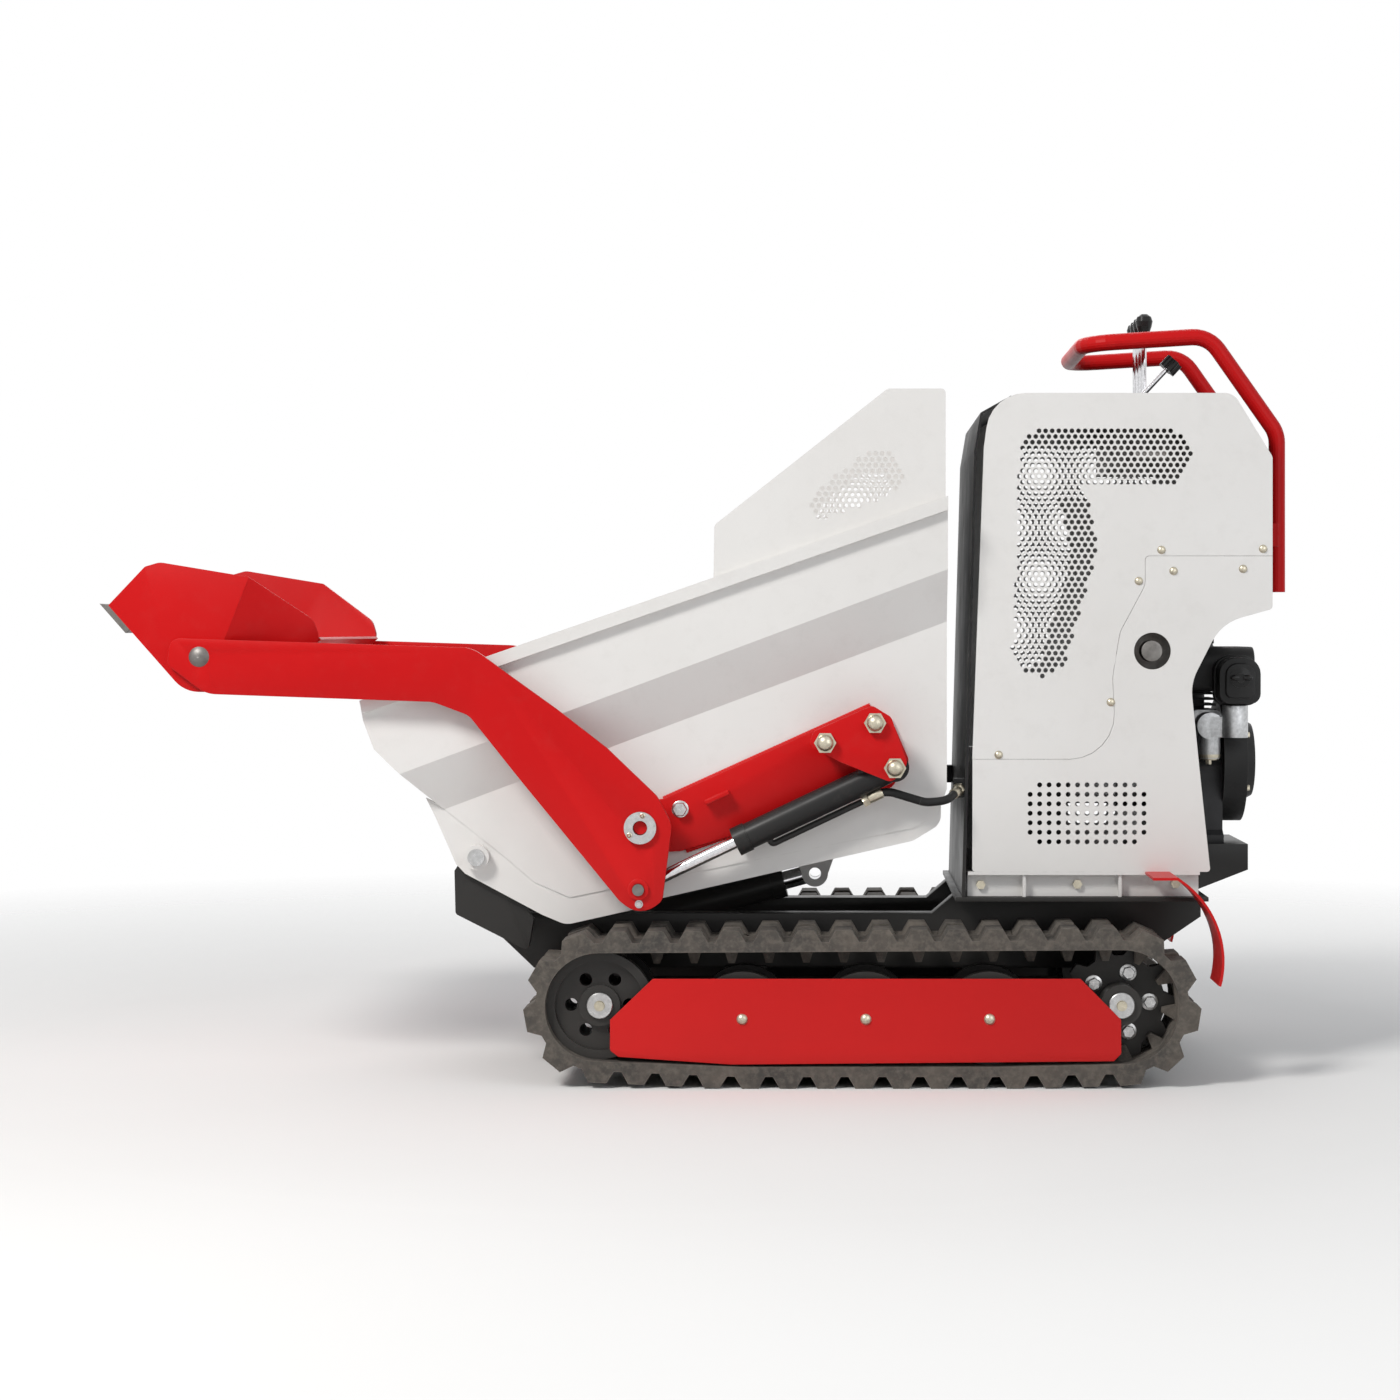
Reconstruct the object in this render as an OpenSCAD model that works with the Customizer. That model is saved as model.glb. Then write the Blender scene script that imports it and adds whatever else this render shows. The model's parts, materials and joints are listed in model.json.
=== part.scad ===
// Tracked power carrier: rubber tracks, forward tipping hopper, self loading shovel and stand-up console.
// Front is -X, rear is +X, the left side is -Y, and the ground is z = 0.

/* [Undercarriage] */
// Distance between the idler and sprocket centres
wheelbase = 970; // [940:5:1000]
// Where the idler centre lies along the machine
idler_x = -186; // [-200:1:-170]
// Distance between the two track centre lines
gauge = 650; // [630:2:680]
// Width of each rubber track
track_w = 180; // [170:2:190]
// Links in one rubber track
links = 37; // [35:1:39]
// Thickness of the rubber band
band_t = 18; // [15:0.5:20]
// Height of the tread lugs
lug_h = 22; // [18:0.5:24]
// Length of a lug where it meets the band
lug_base = 56; // [46:1:60]
// Length of a lug at its tread face
lug_top = 30; // [20:1:36]
// Height of the guide horns inside the belt
horn_h = 26; // [18:1:28]
// Running radius of the idler
idler_r = 100; // [94:1:104]
// Running radius of the sprocket
sprocket_r = 105.6; // [98:0.1:108]
// Running radius of the road wheels
road_r = 87; // [80:1:90]
// Height of the idler and sprocket centres
axle_z = 151; // [146:1:156]
// From the idler centre to the first road wheel
road_first = 265; // [255:1:275]
// Distance between neighbouring road wheels
road_pitch = 229.5; // [215:0.5:235]
// Diameter of the wheel axles
axle_d = 30; // [24:1:36]
// Teeth on each sprocket
sprocket_teeth = 10; // [8:1:12]
// Height of the red guard plates
guard_top_z = 203; // [195:1:210]

/* [Hopper] */
// Half width of the hopper above the upper fold
hopper_half = 348; // [340:1:352]
// Half width of the hopper below the lower fold
hopper_low_half = 300; // [294:1:304]
// Wall of the hopper
hopper_wall = 4; // [3:0.5:6]
// Slope of the two side folds
fold_angle = 20.5; // [18:0.5:23]
// Height of the upper fold where it crosses x = 0
fold_upper_z = 790; // [770:1:800]
// Height of the lower fold where it crosses x = 0
fold_lower_z = 692; // [680:1:710]
// How far the rolled rim stands out from the side wall
rim_out = 14; // [8:1:18]
// Height of the rolled rim
rim_h = 26; // [18:1:32]
// Tipping hinge along the machine
hinge_x = -425; // [-428:1:-422]
// Tipping hinge height
hinge_z = 420; // [417:1:423]
// Diameter of the hinge pins
hinge_d = 32; // [26:1:34]
// Sheet of the splash guard
splash_t = 4; // [3:0.5:5]
// Diameter of the small perforations
small_hole = 9; // [6:0.5:10]
// Pitch of the small perforations
small_pitch = 12.5; // [12:0.5:16]

/* [Loader] */
// From the lower hopper side to the inner face of the lift arms
arm_stand = 75; // [72:1:80]
// Thickness of each lift arm
arm_t = 12; // [8:1:16]
// Arm pivot along the machine
pivot_x = -111; // [-114:1:-108]
// Arm pivot height
pivot_z = 481; // [478:1:484]
// Diameter of the arm pivot pins
pivot_d = 37; // [30:1:40]
// Loader cylinder base pin along the machine
base_pin_x = 363; // [358:1:366]
// Loader cylinder base pin height
base_pin_z = 592; // [588:1:596]
// Rod pin along the machine
rod_pin_x = -114.5; // [-118:0.5:-111]
// Rod pin height
rod_pin_z = 366; // [363:1:370]
// Outer diameter of the loader cylinder barrels
barrel_d = 50; // [44:1:52]
// Diameter of the loader cylinder rods
rod_d = 24; // [20:1:26]
// Barrel length from the base pin to the gland face
barrel_len = 330; // [320:1:340]
// Diameter of the cylinder pins
pin_d = 24; // [18:1:26]
// From a loader barrel to the inner face of the lift arm
barrel_clear = 7; // [5:1:9]
// Sheet of the shovel
shovel_t = 6; // [4:0.5:8]
// Tilt of the shovel floor in the carrying pose
shovel_tilt = 48.6; // [44:0.2:52]
// Lip of the shovel along the machine
lip_x = -1104; // [-1114:1:-1094]
// Height of the shovel lip
lip_z = 895; // [880:1:905]

/* [Tipping cylinder] */
// Base pin along the machine
tip_base_x = -260; // [-265:1:-255]
// Base pin height
tip_base_z = 235; // [232:1:240]
// Rod pin along the machine
tip_rod_x = 212; // [208:1:216]
// Rod pin height
tip_rod_z = 364; // [360:1:368]
// Barrel diameter
tip_barrel_d = 60; // [54:1:64]
// Rod diameter
tip_rod_d = 36; // [30:1:38]

/* [Console] */
// Outer face of the side panels from the middle
panel_out = 285; // [280:1:290]
// Sheet of the panels and covers
sheet_t = 4; // [3:0.5:5]
// Top of the console
console_top = 1299; // [1290:1:1305]
// Rear edge of the side panels
console_rear = 1082; // [1078:1:1086]
// Top of the rear deck
deck_z = 342; // [338:1:346]
// Joint gap between the upper and lower side panels
seam_gap = 0.6; // [0.3:0.1:0.9]
// Exhaust opening in the lower panel
exhaust_hole_d = 70; // [60:1:80]
// Hole size of the square grille
vent_hole = 9.5; // [7:0.5:11]
// Pitch of the square grille
vent_pitch = 18; // [16:0.5:22]

/* [Controls] */
// Diameter of the red handle tube
handle_d = 32; // [28:1:36]
// Half distance between the handle bars
handle_half = 200; // [190:1:210]
// Rear of the handle tube centre
handle_x = 1104; // [1102:1:1108]
// Diameter of the chrome lever rods
lever_d = 10; // [8:0.5:12]
// Distance between neighbouring levers
lever_pitch = 52; // [46:1:58]
// Lever pivot along the machine
lever_x = 862; // [855:1:870]
// Lever pivot height
lever_z = 1262; // [1256:1:1266]
// Height of the knob centres above the lever pivots
lever_len = 188; // [170:1:200]

/* [Hidden] */
$fn = 48;

// Shared clearances
fit = 0.05;
run_gap = 0.5;
face_gap = 0.4;
arc_steps = 6;
cut = 1;

// Colours
white = [0.88, 0.87, 0.85];
red = [0.76, 0.10, 0.10];
black = [0.06, 0.06, 0.06];
rubber = [0.22, 0.20, 0.18];
steel = [0.62, 0.62, 0.62];
zinc = [0.75, 0.68, 0.45];
chrome = [0.85, 0.85, 0.87];

// Wheel places
sprocket_x = idler_x + wheelbase;
belt_floor = band_t + lug_h;
road_z = belt_floor + road_r;
function road_x(i) = idler_x + road_first + i * road_pitch;
belt_wheels = [
    [idler_x, axle_z, idler_r],
    [road_x(0), road_z, road_r],
    [road_x(2), road_z, road_r],
    [sprocket_x, axle_z, sprocket_r]
];

// Plain vector helpers
function flat(p) = [p[0], p[1]];
function unit(v) = v / norm(v);
function mix(a, b, t) = a + (b - a) * t;
function turn(a) = a > 180 ? a - 360 : a < -180 ? a + 360 : a;

// Rounded outline from points [x, z, corner radius]
function corner(a, b, c) =
    let (
        u = unit(flat(a) - flat(b)),
        v = unit(flat(c) - flat(b)),
        half = acos(max(-1, min(1, u * v))) / 2,
        reach = b[2] / tan(half),
        middle = flat(b) + unit(u + v) * b[2] / sin(half),
        from = flat(b) + u * reach - middle,
        to = flat(b) + v * reach - middle,
        start = atan2(from[1], from[0]),
        sweep = turn(atan2(to[1], to[0]) - start)
    )
    [for (i = [0 : arc_steps])
        let (angle = start + sweep * i / arc_steps) middle + b[2] * [cos(angle), sin(angle)]];
function outline(p) = [
    for (i = [0 : len(p) - 1])
        each (len(p[i]) < 3 ? [p[i]] : corner(p[(i + len(p) - 1) % len(p)], p[i], p[(i + 1) % len(p)]))
];

// Outline drawn in by a constant distance, for counter-clockwise points
function edge_shift(a, b, t) = let (d = unit(b - a)) t * [-d[1], d[0]];
function inset_point(a, b, c, t) =
    let (
        p = b + edge_shift(a, b, t),
        q = b + edge_shift(b, c, t),
        d = unit(b - a),
        e = unit(c - b),
        cross_de = d[0] * e[1] - d[1] * e[0]
    )
    abs(cross_de) < 0.001 ? p : p + d * ((q[0] - p[0]) * e[1] - (q[1] - p[1]) * e[0]) / cross_de;
function inset(p, t) = [
    for (i = [0 : len(p) - 1])
        inset_point(p[(i + len(p) - 1) % len(p)], p[i], p[(i + 1) % len(p)], t)
];

// Slab of a side view drawing between y and y + t
module side_slab(y, t) {
    translate([0, y + t, 0])
        rotate([90, 0, 0])
            linear_extrude(t)
                children();
}

module side_plate(points, y, t) {
    side_slab(y, t)
        polygon(outline(points));
}

module both_sides() {
    children();
    mirror([0, 1, 0])
        children();
}

module pin_y(x, z, r, y0, y1) {
    translate([x, y1, z])
        rotate([90, 0, 0])
            cylinder(r = r, h = y1 - y0);
}

module hex_y(x, z, across, y0, y1) {
    translate([x, y1, z])
        rotate([90, 0, 0])
            cylinder(d = across / cos(30), h = y1 - y0, $fn = 6);
}

module dome_y(x, z, r, y0, rise) {
    ball_r = (r * r + rise * rise) / (2 * rise);
    translate([x, y0, z])
        rotate([-90, 0, 0])
            intersection() {
                translate([0, 0, rise - ball_r])
                    sphere(r = ball_r);
                cylinder(r = r, h = rise);
            }
}

// Round bar from a to b
module bar(a, b, r) {
    d = b - a;
    translate(a)
        rotate([0, acos(d[2] / norm(d)), atan2(d[1], d[0])])
            cylinder(r = r, h = norm(d));
}

// Bent round tube: a polygon ring swept along points whose corners are rounded to one bend radius
bend_steps = 6;
function heading(p, i) = unit(p[i + 1] - p[i]);
function bend_points(p, i, bend) =
    let (
        u = heading(p, i - 1),
        v = heading(p, i),
        angle = acos(max(-1, min(1, u * v))),
        inward = unit(v - u * (u * v)),
        middle = p[i] - u * bend * tan(angle / 2) + inward * bend
    )
    [
        for (k = [0 : bend_steps])
            let (a = angle * k / bend_steps)
                middle - inward * bend * cos(a) + u * bend * sin(a)
    ];
function rounded_route(p, bend) = concat(
    [p[0]],
    [for (i = [1 : 1 : len(p) - 2]) each bend_points(p, i, bend)],
    [p[len(p) - 1]]
);
function route_tangent(q, i) =
    unit((i == 0 ? [0, 0, 0] : heading(q, i - 1)) + (i == len(q) - 1 ? [0, 0, 0] : heading(q, i)));
function side_of(v) = unit(cross(v, abs(v[1]) < 0.9 ? [0, 1, 0] : [1, 0, 0]));
function route_normals(q, i, n) =
    let (
        t = route_tangent(q, i),
        m = unit(n - t * (n * t))
    )
    i == len(q) - 1 ? [m] : concat([m], route_normals(q, i + 1, m));

module bent_tube(p, r, bend, sides) {
    q = rounded_route(p, bend);
    normals = route_normals(q, 0, side_of(route_tangent(q, 0)));
    rings = len(q);
    points = [
        for (i = [0 : rings - 1])
            let (b = cross(route_tangent(q, i), normals[i]))
                for (k = [0 : sides - 1])
                    q[i] + r * (cos(360 / sides * k) * normals[i] + sin(360 / sides * k) * b)
    ];
    skin = [
        for (i = [0 : rings - 2])
            for (k = [0 : sides - 1])
                let (
                    a = i * sides + k,
                    b = i * sides + (k + 1) % sides
                )
                    each [[a, a + sides, b], [b, a + sides, b + sides]]
    ];
    first_cap = [for (k = [0 : sides - 1]) k];
    last_cap = [for (k = [sides - 1 : -1 : 0]) (rings - 1) * sides + k];
    polyhedron(points, concat(skin, [first_cap, last_cap]));
}

// Tests for points inside a tapered capsule
function in_capsule(p, a, b) =
    let (
        d = flat(b) - flat(a),
        t = max(0, min(1, ((p - flat(a)) * d) / (d * d)))
    )
    norm(p - flat(a) - d * t) <= mix(a[2], b[2], t) - small_hole / 2;
function in_any(p, shapes) = len([for (s = shapes) if (in_capsule(p, s[0], s[1])) 1]) > 0;

// Staggered places of small perforations inside a set of capsules
function stagger_places(shapes, x0, x1, z0, z1) =
    let (row = small_pitch * sqrt(3) / 2)
    [
        for (j = [0 : floor((z1 - z0) / row)])
            for (i = [0 : floor((x1 - x0) / small_pitch)])
                let (p = [x0 + (i + (j % 2) / 2) * small_pitch, z0 + j * row])
                    if (in_any(p, shapes)) p
    ];

module small_holes(places) {
    for (p = places)
        translate(p)
            circle(d = small_hole, $fn = 16);
}

// Belt path: the inner face of the rubber track as points [x, z, normal x, normal z]
function tangent_dir(a, b) =
    let (d = flat(b) - flat(a))
    atan2(d[1], d[0]) - acos((a[2] - b[2]) / norm(d));
belt_arc_step = 5;
belt_path = [
    for (i = [0 : 3])
        let (
            w = belt_wheels[i],
            a0 = tangent_dir(belt_wheels[(i + 3) % 4], w),
            span = (tangent_dir(w, belt_wheels[(i + 1) % 4]) - a0 + 720) % 360,
            steps = max(1, ceil(span / belt_arc_step))
        )
            for (j = [0 : steps])
                let (a = a0 + span * j / steps)
                    [w[0] + w[2] * cos(a), w[1] + w[2] * sin(a), cos(a), sin(a)]
];
belt_n = len(belt_path);
function belt_gap(i) = norm(flat(belt_path[(i + 1) % belt_n]) - flat(belt_path[i]));
function belt_sums(i = 0, s = 0) = i > belt_n ? [] : concat([s], belt_sums(i + 1, s + belt_gap(i % belt_n)));
belt_s = belt_sums();
belt_len = belt_s[belt_n];
link_pitch = belt_len / links;

// Point on the belt at a path length, moved outward by d
function belt_at(s, d) =
    let (
        i = [for (k = [0 : belt_n - 1]) if (belt_s[k] <= s && s < belt_s[k + 1]) k][0],
        t = (s - belt_s[i]) / (belt_s[i + 1] - belt_s[i]),
        q = mix(belt_path[i], belt_path[(i + 1) % belt_n], t),
        n = unit([q[2], q[3]])
    )
    [q[0], q[1]] + d * n;
function belt_plain(d) = [for (q = belt_path) [q[0] + d * q[2], q[1] + d * q[3]]];
function belt_bumps(base, top, low, high) = [
    for (i = [0 : links - 1])
        for (e = [[-base / 2, low], [-top / 2, high], [top / 2, high], [base / 2, low]])
            belt_at((i + 0.5) * link_pitch + e[0], e[1])
];

horn_in = 20;
horn_w = 18;
horn_base = 28;
horn_top = 12;
horn_out = horn_in + horn_w;
belt_lugged = belt_bumps(lug_base, lug_top, band_t, band_t + lug_h);
belt_horned = belt_bumps(horn_base, horn_top, 0, -horn_h);

module belt_slab(y0, y1, outer, inner) {
    side_slab(y0, y1 - y0)
        difference() {
            polygon(outer);
            polygon(inner);
        }
}

module track_belt(side) {
    half = track_w / 2;
    color(rubber)
        translate([0, side * gauge / 2, 0]) {
            belt_slab(-horn_in, horn_in, belt_plain(band_t), belt_plain(0));
            both_sides() {
                belt_slab(horn_in, horn_out, belt_lugged, belt_horned);
                belt_slab(horn_out, half, belt_lugged, belt_plain(0));
            }
        }
}

module left_track() {
    track_belt(-1);
}

module right_track() {
    track_belt(1);
}

// Wheels
rim_in = horn_out + 4;
rim_out_y = 66;
core_gap = 6;
hub_r = 38;
web_in = 54;
wheel_face = gauge / 2 + rim_out_y;
axle_root = gauge / 2 - 75;
washer_t = 5;

function spool_profile(r, core) = [
    [axle_d / 2 + fit, -rim_out_y],
    [hub_r, -rim_out_y],
    [hub_r, -web_in],
    [r - 16, -web_in],
    [r - 16, -rim_out_y],
    [r, -rim_out_y],
    [r, -rim_in],
    [core, -rim_in],
    [core, rim_in],
    [r, rim_in],
    [r, rim_out_y],
    [r - 16, rim_out_y],
    [r - 16, web_in],
    [hub_r, web_in],
    [hub_r, rim_out_y],
    [axle_d / 2 + fit, rim_out_y]
];

module spool(x, z, side, r, core) {
    translate([x, side * gauge / 2, z])
        rotate([90, 0, 0])
            rotate_extrude()
                polygon(spool_profile(r, core));
}

module road_wheel(i, side) {
    color(black)
        spool(road_x(i), road_z, side, road_r - run_gap, road_r - horn_h - core_gap);
}

module idler_wheel(side) {
    window_n = 6;
    window_r = 12;
    window_at = 54;
    color(black)
        difference() {
            spool(idler_x, axle_z, side, idler_r - run_gap, idler_r - horn_h - core_gap);
            for (i = [0 : window_n - 1])
                let (a = 360 / window_n * i)
                    pin_y(
                        idler_x + window_at * cos(a), axle_z + window_at * sin(a), window_r,
                        side * gauge / 2 - track_w / 2, side * gauge / 2 + track_w / 2
                    );
        }
}

sprocket_t = 26;
tooth_h = 18;
function sprocket_points() = [
    for (i = [0 : sprocket_teeth - 1])
        for (e = [[-0.34, 0], [-0.15, tooth_h], [0.15, tooth_h], [0.34, 0]])
            let (
                a = 360 / sprocket_teeth * (i + e[0]),
                r = sprocket_r - run_gap - tooth_h + e[1]
            )
                r * [cos(a), sin(a)]
];

module sprocket_wheel(side) {
    lens_n = 5;
    lens_r = 13;
    lens_at = 58;
    color(black)
        translate([sprocket_x, side * gauge / 2, axle_z])
            rotate([90, 0, 0])
                difference() {
                    union() {
                        linear_extrude(sprocket_t, center = true)
                            polygon(sprocket_points());
                        cylinder(r = hub_r, h = 2 * rim_out_y, center = true);
                    }
                    cylinder(r = axle_d / 2 + fit, h = track_w, center = true);
                    for (i = [0 : lens_n - 1])
                        rotate(360 / lens_n * i)
                            translate([lens_at, 0, 0])
                                cylinder(r = lens_r, h = track_w, center = true);
                }
}

module left_sprocket() {
    sprocket_wheel(-1);
}

module right_sprocket() {
    sprocket_wheel(1);
}

module left_idler() {
    idler_wheel(-1);
}

module right_idler() {
    idler_wheel(1);
}

module left_road_wheel_front() {
    road_wheel(0, -1);
}

module left_road_wheel_mid() {
    road_wheel(1, -1);
}

module left_road_wheel_rear() {
    road_wheel(2, -1);
}

module right_road_wheel_front() {
    road_wheel(0, 1);
}

module right_road_wheel_mid() {
    road_wheel(1, 1);
}

module right_road_wheel_rear() {
    road_wheel(2, 1);
}

// Track frames with their stub axles
guard_y = gauge / 2 + 75;
guard_t = 4;
guard_flare = 7;
beam_in = axle_root - 55;
beam_low = axle_z - 70;
beam_high = axle_z + 30;

module track_frames() {
    nose_r = 30;
    tail_gap = 90;
    color(black)
        both_sides() {
            side_plate([
                [idler_x - nose_r, axle_z - nose_r, 20],
                [road_x(0) - road_r, beam_low, 10],
                [sprocket_x - tail_gap, beam_low, 10],
                [sprocket_x - tail_gap, beam_high, 10],
                [idler_x - nose_r, axle_z + nose_r, 20]
            ], beam_in, axle_root - beam_in);
            for (i = [0 : 2])
                pin_y(road_x(i), road_z, axle_d / 2, axle_root - cut, guard_y);
            pin_y(idler_x, axle_z, axle_d / 2, axle_root - cut, wheel_face + run_gap);
        }
}

module travel_motors() {
    body_r = 62;
    flange_r = 70;
    flange_t = 16;
    body_in = rail_out + face_gap;
    color(black)
        both_sides() {
            pin_y(sprocket_x, axle_z, body_r, body_in, axle_root);
            pin_y(sprocket_x, axle_z, flange_r, axle_root - flange_t, axle_root);
            pin_y(sprocket_x, axle_z, axle_d / 2, axle_root - cut, wheel_face + run_gap);
        }
}

// Red guard plates with flared top and bottom strips
guard_fold_high = 166;
guard_fold_low = 90;

module track_guards() {
    z0 = belt_floor + 4;
    front = idler_x + 20;
    rear = sprocket_x - 2;
    color(red)
        both_sides()
            intersection() {
                side_plate([
                    [front + 80, guard_top_z],
                    [rear - 76, guard_top_z],
                    [rear, axle_z - 25],
                    [rear, z0 + 20, 8],
                    [rear - 14, z0 + 6],
                    [road_x(0) - 20, z0],
                    [front + 16, z0 + 14],
                    [front, z0 + 26, 8],
                    [front, axle_z - 25]
                ], guard_y - cut, guard_t + guard_flare + 2 * cut);
                translate([front - cut, 0, 0])
                    rotate([90, 0, 90])
                        linear_extrude(rear - front + 2 * cut)
                            polygon([
                                [guard_y, guard_fold_low],
                                [guard_y + guard_flare, belt_floor],
                                [guard_y + guard_flare + guard_t, belt_floor],
                                [guard_y + guard_t, guard_fold_low],
                                [guard_y + guard_t, guard_fold_high],
                                [guard_y + guard_flare + guard_t, guard_top_z + cut],
                                [guard_y + guard_flare, guard_top_z + cut],
                                [guard_y, guard_fold_high]
                            ]);
            }
}

// Curved red mudguards behind the sprockets
mud_x = sprocket_x + 6;
mud_z = axle_z + 85;
mud_r = 182;
mud_t = 5;
mud_in = panel_out + 15;
mud_out = gauge / 2 + track_w / 2;
mud_top_angle = 58;

module mudguards() {
    low_angle = -15;
    tab_len = 46;
    top_x = mud_x + mud_r * cos(mud_top_angle);
    top_z = mud_z + mud_r * sin(mud_top_angle);
    color(red)
        both_sides() {
            translate([mud_x, mud_out, mud_z])
                rotate([90, 0, 0])
                    rotate([0, 0, low_angle])
                        rotate_extrude(angle = mud_top_angle - low_angle)
                            translate([mud_r - mud_t, 0])
                                square([mud_t, mud_out - mud_in]);
            translate([top_x - tab_len, panel_out, top_z - mud_t])
                cube([tab_len, mud_out - panel_out, mud_t]);
        }
}

// Chassis: nose with hinge ears, rails, cross members, rear deck and engine stand
ear_t = 22;
ear_back = 16;
ear_in = hopper_low_half - ear_back - ear_t;
ear_r = 28;
rail_in = 130;
rail_out = 180;
rail_low = 195;
rail_high = 300;
deck_front = 480;
deck_rear = 960;
deck_t = 8;
tip_ear_in = 22;
tip_ear_t = 12;
tip_ear_r = 20;
stand_rear = 1060;
stand_z = 430;
stand_half = 125;

module chassis_frame() {
    nose_front = hinge_x - 46;
    cross_w = 80;
    tip_pad = 60;
    color(black)
        difference() {
            union() {
                both_sides() {
                    side_plate([
                        [nose_front, hinge_z - 28],
                        [nose_front + 2, 310, 8],
                        [nose_front + 140, 240, 8],
                        [nose_front + 150, 300],
                        [hinge_x + ear_r, hinge_z],
                        [hinge_x, hinge_z + ear_r],
                        [hinge_x - ear_r, hinge_z]
                    ], ear_in, ear_t);
                    pin_y(hinge_x, hinge_z, ear_r, ear_in, ear_in + ear_t);
                    side_plate([
                        [nose_front + 30, rail_high],
                        [nose_front + 140, rail_low],
                        [sprocket_x + 30, rail_low],
                        [deck_rear, deck_z - deck_t - 40],
                        [deck_rear, deck_z - deck_t],
                        [deck_front, deck_z - deck_t],
                        [deck_front - 40, rail_high]
                    ], rail_in, rail_out - rail_in);
                    side_plate([
                        [tip_base_x - 30, rail_low + cut],
                        [tip_base_x + 30, rail_low + cut],
                        [tip_base_x + tip_ear_r, tip_base_z],
                        [tip_base_x - tip_ear_r, tip_base_z]
                    ], tip_ear_in, tip_ear_t);
                    pin_y(tip_base_x, tip_base_z, tip_ear_r, tip_ear_in, tip_ear_in + tip_ear_t);
                }
                translate([tip_base_x - tip_pad, -rail_out, rail_low - 35])
                    cube([2 * tip_pad, 2 * rail_out, 40]);
                translate([0, -ear_in - cut, 0])
                    side_plate([
                        [nose_front + 2, 345],
                        [nose_front + 2, 312, 8],
                        [nose_front + 90, 268],
                        [nose_front + 90, 305],
                        [nose_front + 40, 345]
                    ], 0, 2 * (ear_in + cut));
                for (i = [0 : 2])
                    translate([road_x(i) - cross_w / 2, -beam_in, beam_low + 30])
                        cube([cross_w, 2 * beam_in, rail_low - beam_low - 25]);
                translate([deck_front, -panel_out - 5, deck_z - deck_t])
                    cube([deck_rear - deck_front, 2 * (panel_out + 5), deck_t]);
                both_sides()
                    side_plate([
                        [deck_rear - 130, deck_z - cut],
                        [deck_rear, deck_z - cut],
                        [stand_rear, stand_z - 50],
                        [stand_rear, stand_z],
                        [deck_rear - 130, stand_z]
                    ], stand_half - 8, 8);
                translate([deck_rear - 130, -stand_half, stand_z - 8])
                    cube([stand_rear - deck_rear + 130, 2 * stand_half, 8]);
            }
            pin_y(hinge_x, hinge_z, hinge_d / 2 + fit, -ear_in - ear_t - cut, ear_in + ear_t + cut);
            pin_y(tip_base_x, tip_base_z, pin_d / 2 + fit, -rail_in, rail_in);
        }
}

module hinge_pins() {
    pin_in = ear_in - 10;
    pin_out = hopper_low_half + 24;
    color(steel)
        both_sides()
            pin_y(hinge_x, hinge_z, hinge_d / 2, pin_in, pin_out);
    color(steel)
        pin_y(tip_base_x, tip_base_z, pin_d / 2, -tip_ear_in - tip_ear_t - 8, tip_ear_in + tip_ear_t + 8);
}

// Hopper side outline, front lip first, counter-clockwise
rim_front = [-640, 716];
rim_rear = [463, 1100];
rim_slope = (rim_rear[1] - rim_front[1]) / (rim_rear[0] - rim_front[0]);
function rim_z(x) = rim_front[1] + (x - rim_front[0]) * rim_slope;
function tub_outline(raise) = [
    [rim_front[0], rim_front[1] + raise],
    [-633, 678],
    [-613, 625],
    [-575, 588],
    [hinge_x - 75, hinge_z + 100],
    [hinge_x + 53, hinge_z - 2],
    [hinge_x + 107, hinge_z - 48],
    [-251, 343],
    [399, 474],
    [446, 500],
    [rim_rear[0], 548],
    [rim_rear[0], rim_rear[1] + raise]
];
sweep_len = 3000;

// Solid whose cross section follows the two side folds, cut to a side outline
module folded_body(points, t) {
    c = cos(fold_angle);
    s = sin(fold_angle);
    upper = fold_upper_z * c;
    lower = fold_lower_z * c;
    far = sweep_len / 2;
    wide = hopper_half - t;
    narrow = hopper_low_half - t;
    intersection() {
        multmatrix([[0, -s, c, 0], [1, 0, 0, 0], [0, c, s, 0], [0, 0, 0, 1]])
            translate([0, 0, -far])
                linear_extrude(sweep_len)
                    polygon([
                        [-narrow, -far], [narrow, -far], [narrow, lower], [wide, upper],
                        [wide, far], [-wide, far], [-wide, upper], [-narrow, lower]
                    ]);
        side_slab(-far, sweep_len)
            polygon(points);
    }
}

skirt_t = 10;
skirt_out = hopper_low_half - 2;
tip_lug_in = tip_ear_in;
boss_r = hinge_d / 2 + 7.5;

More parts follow.
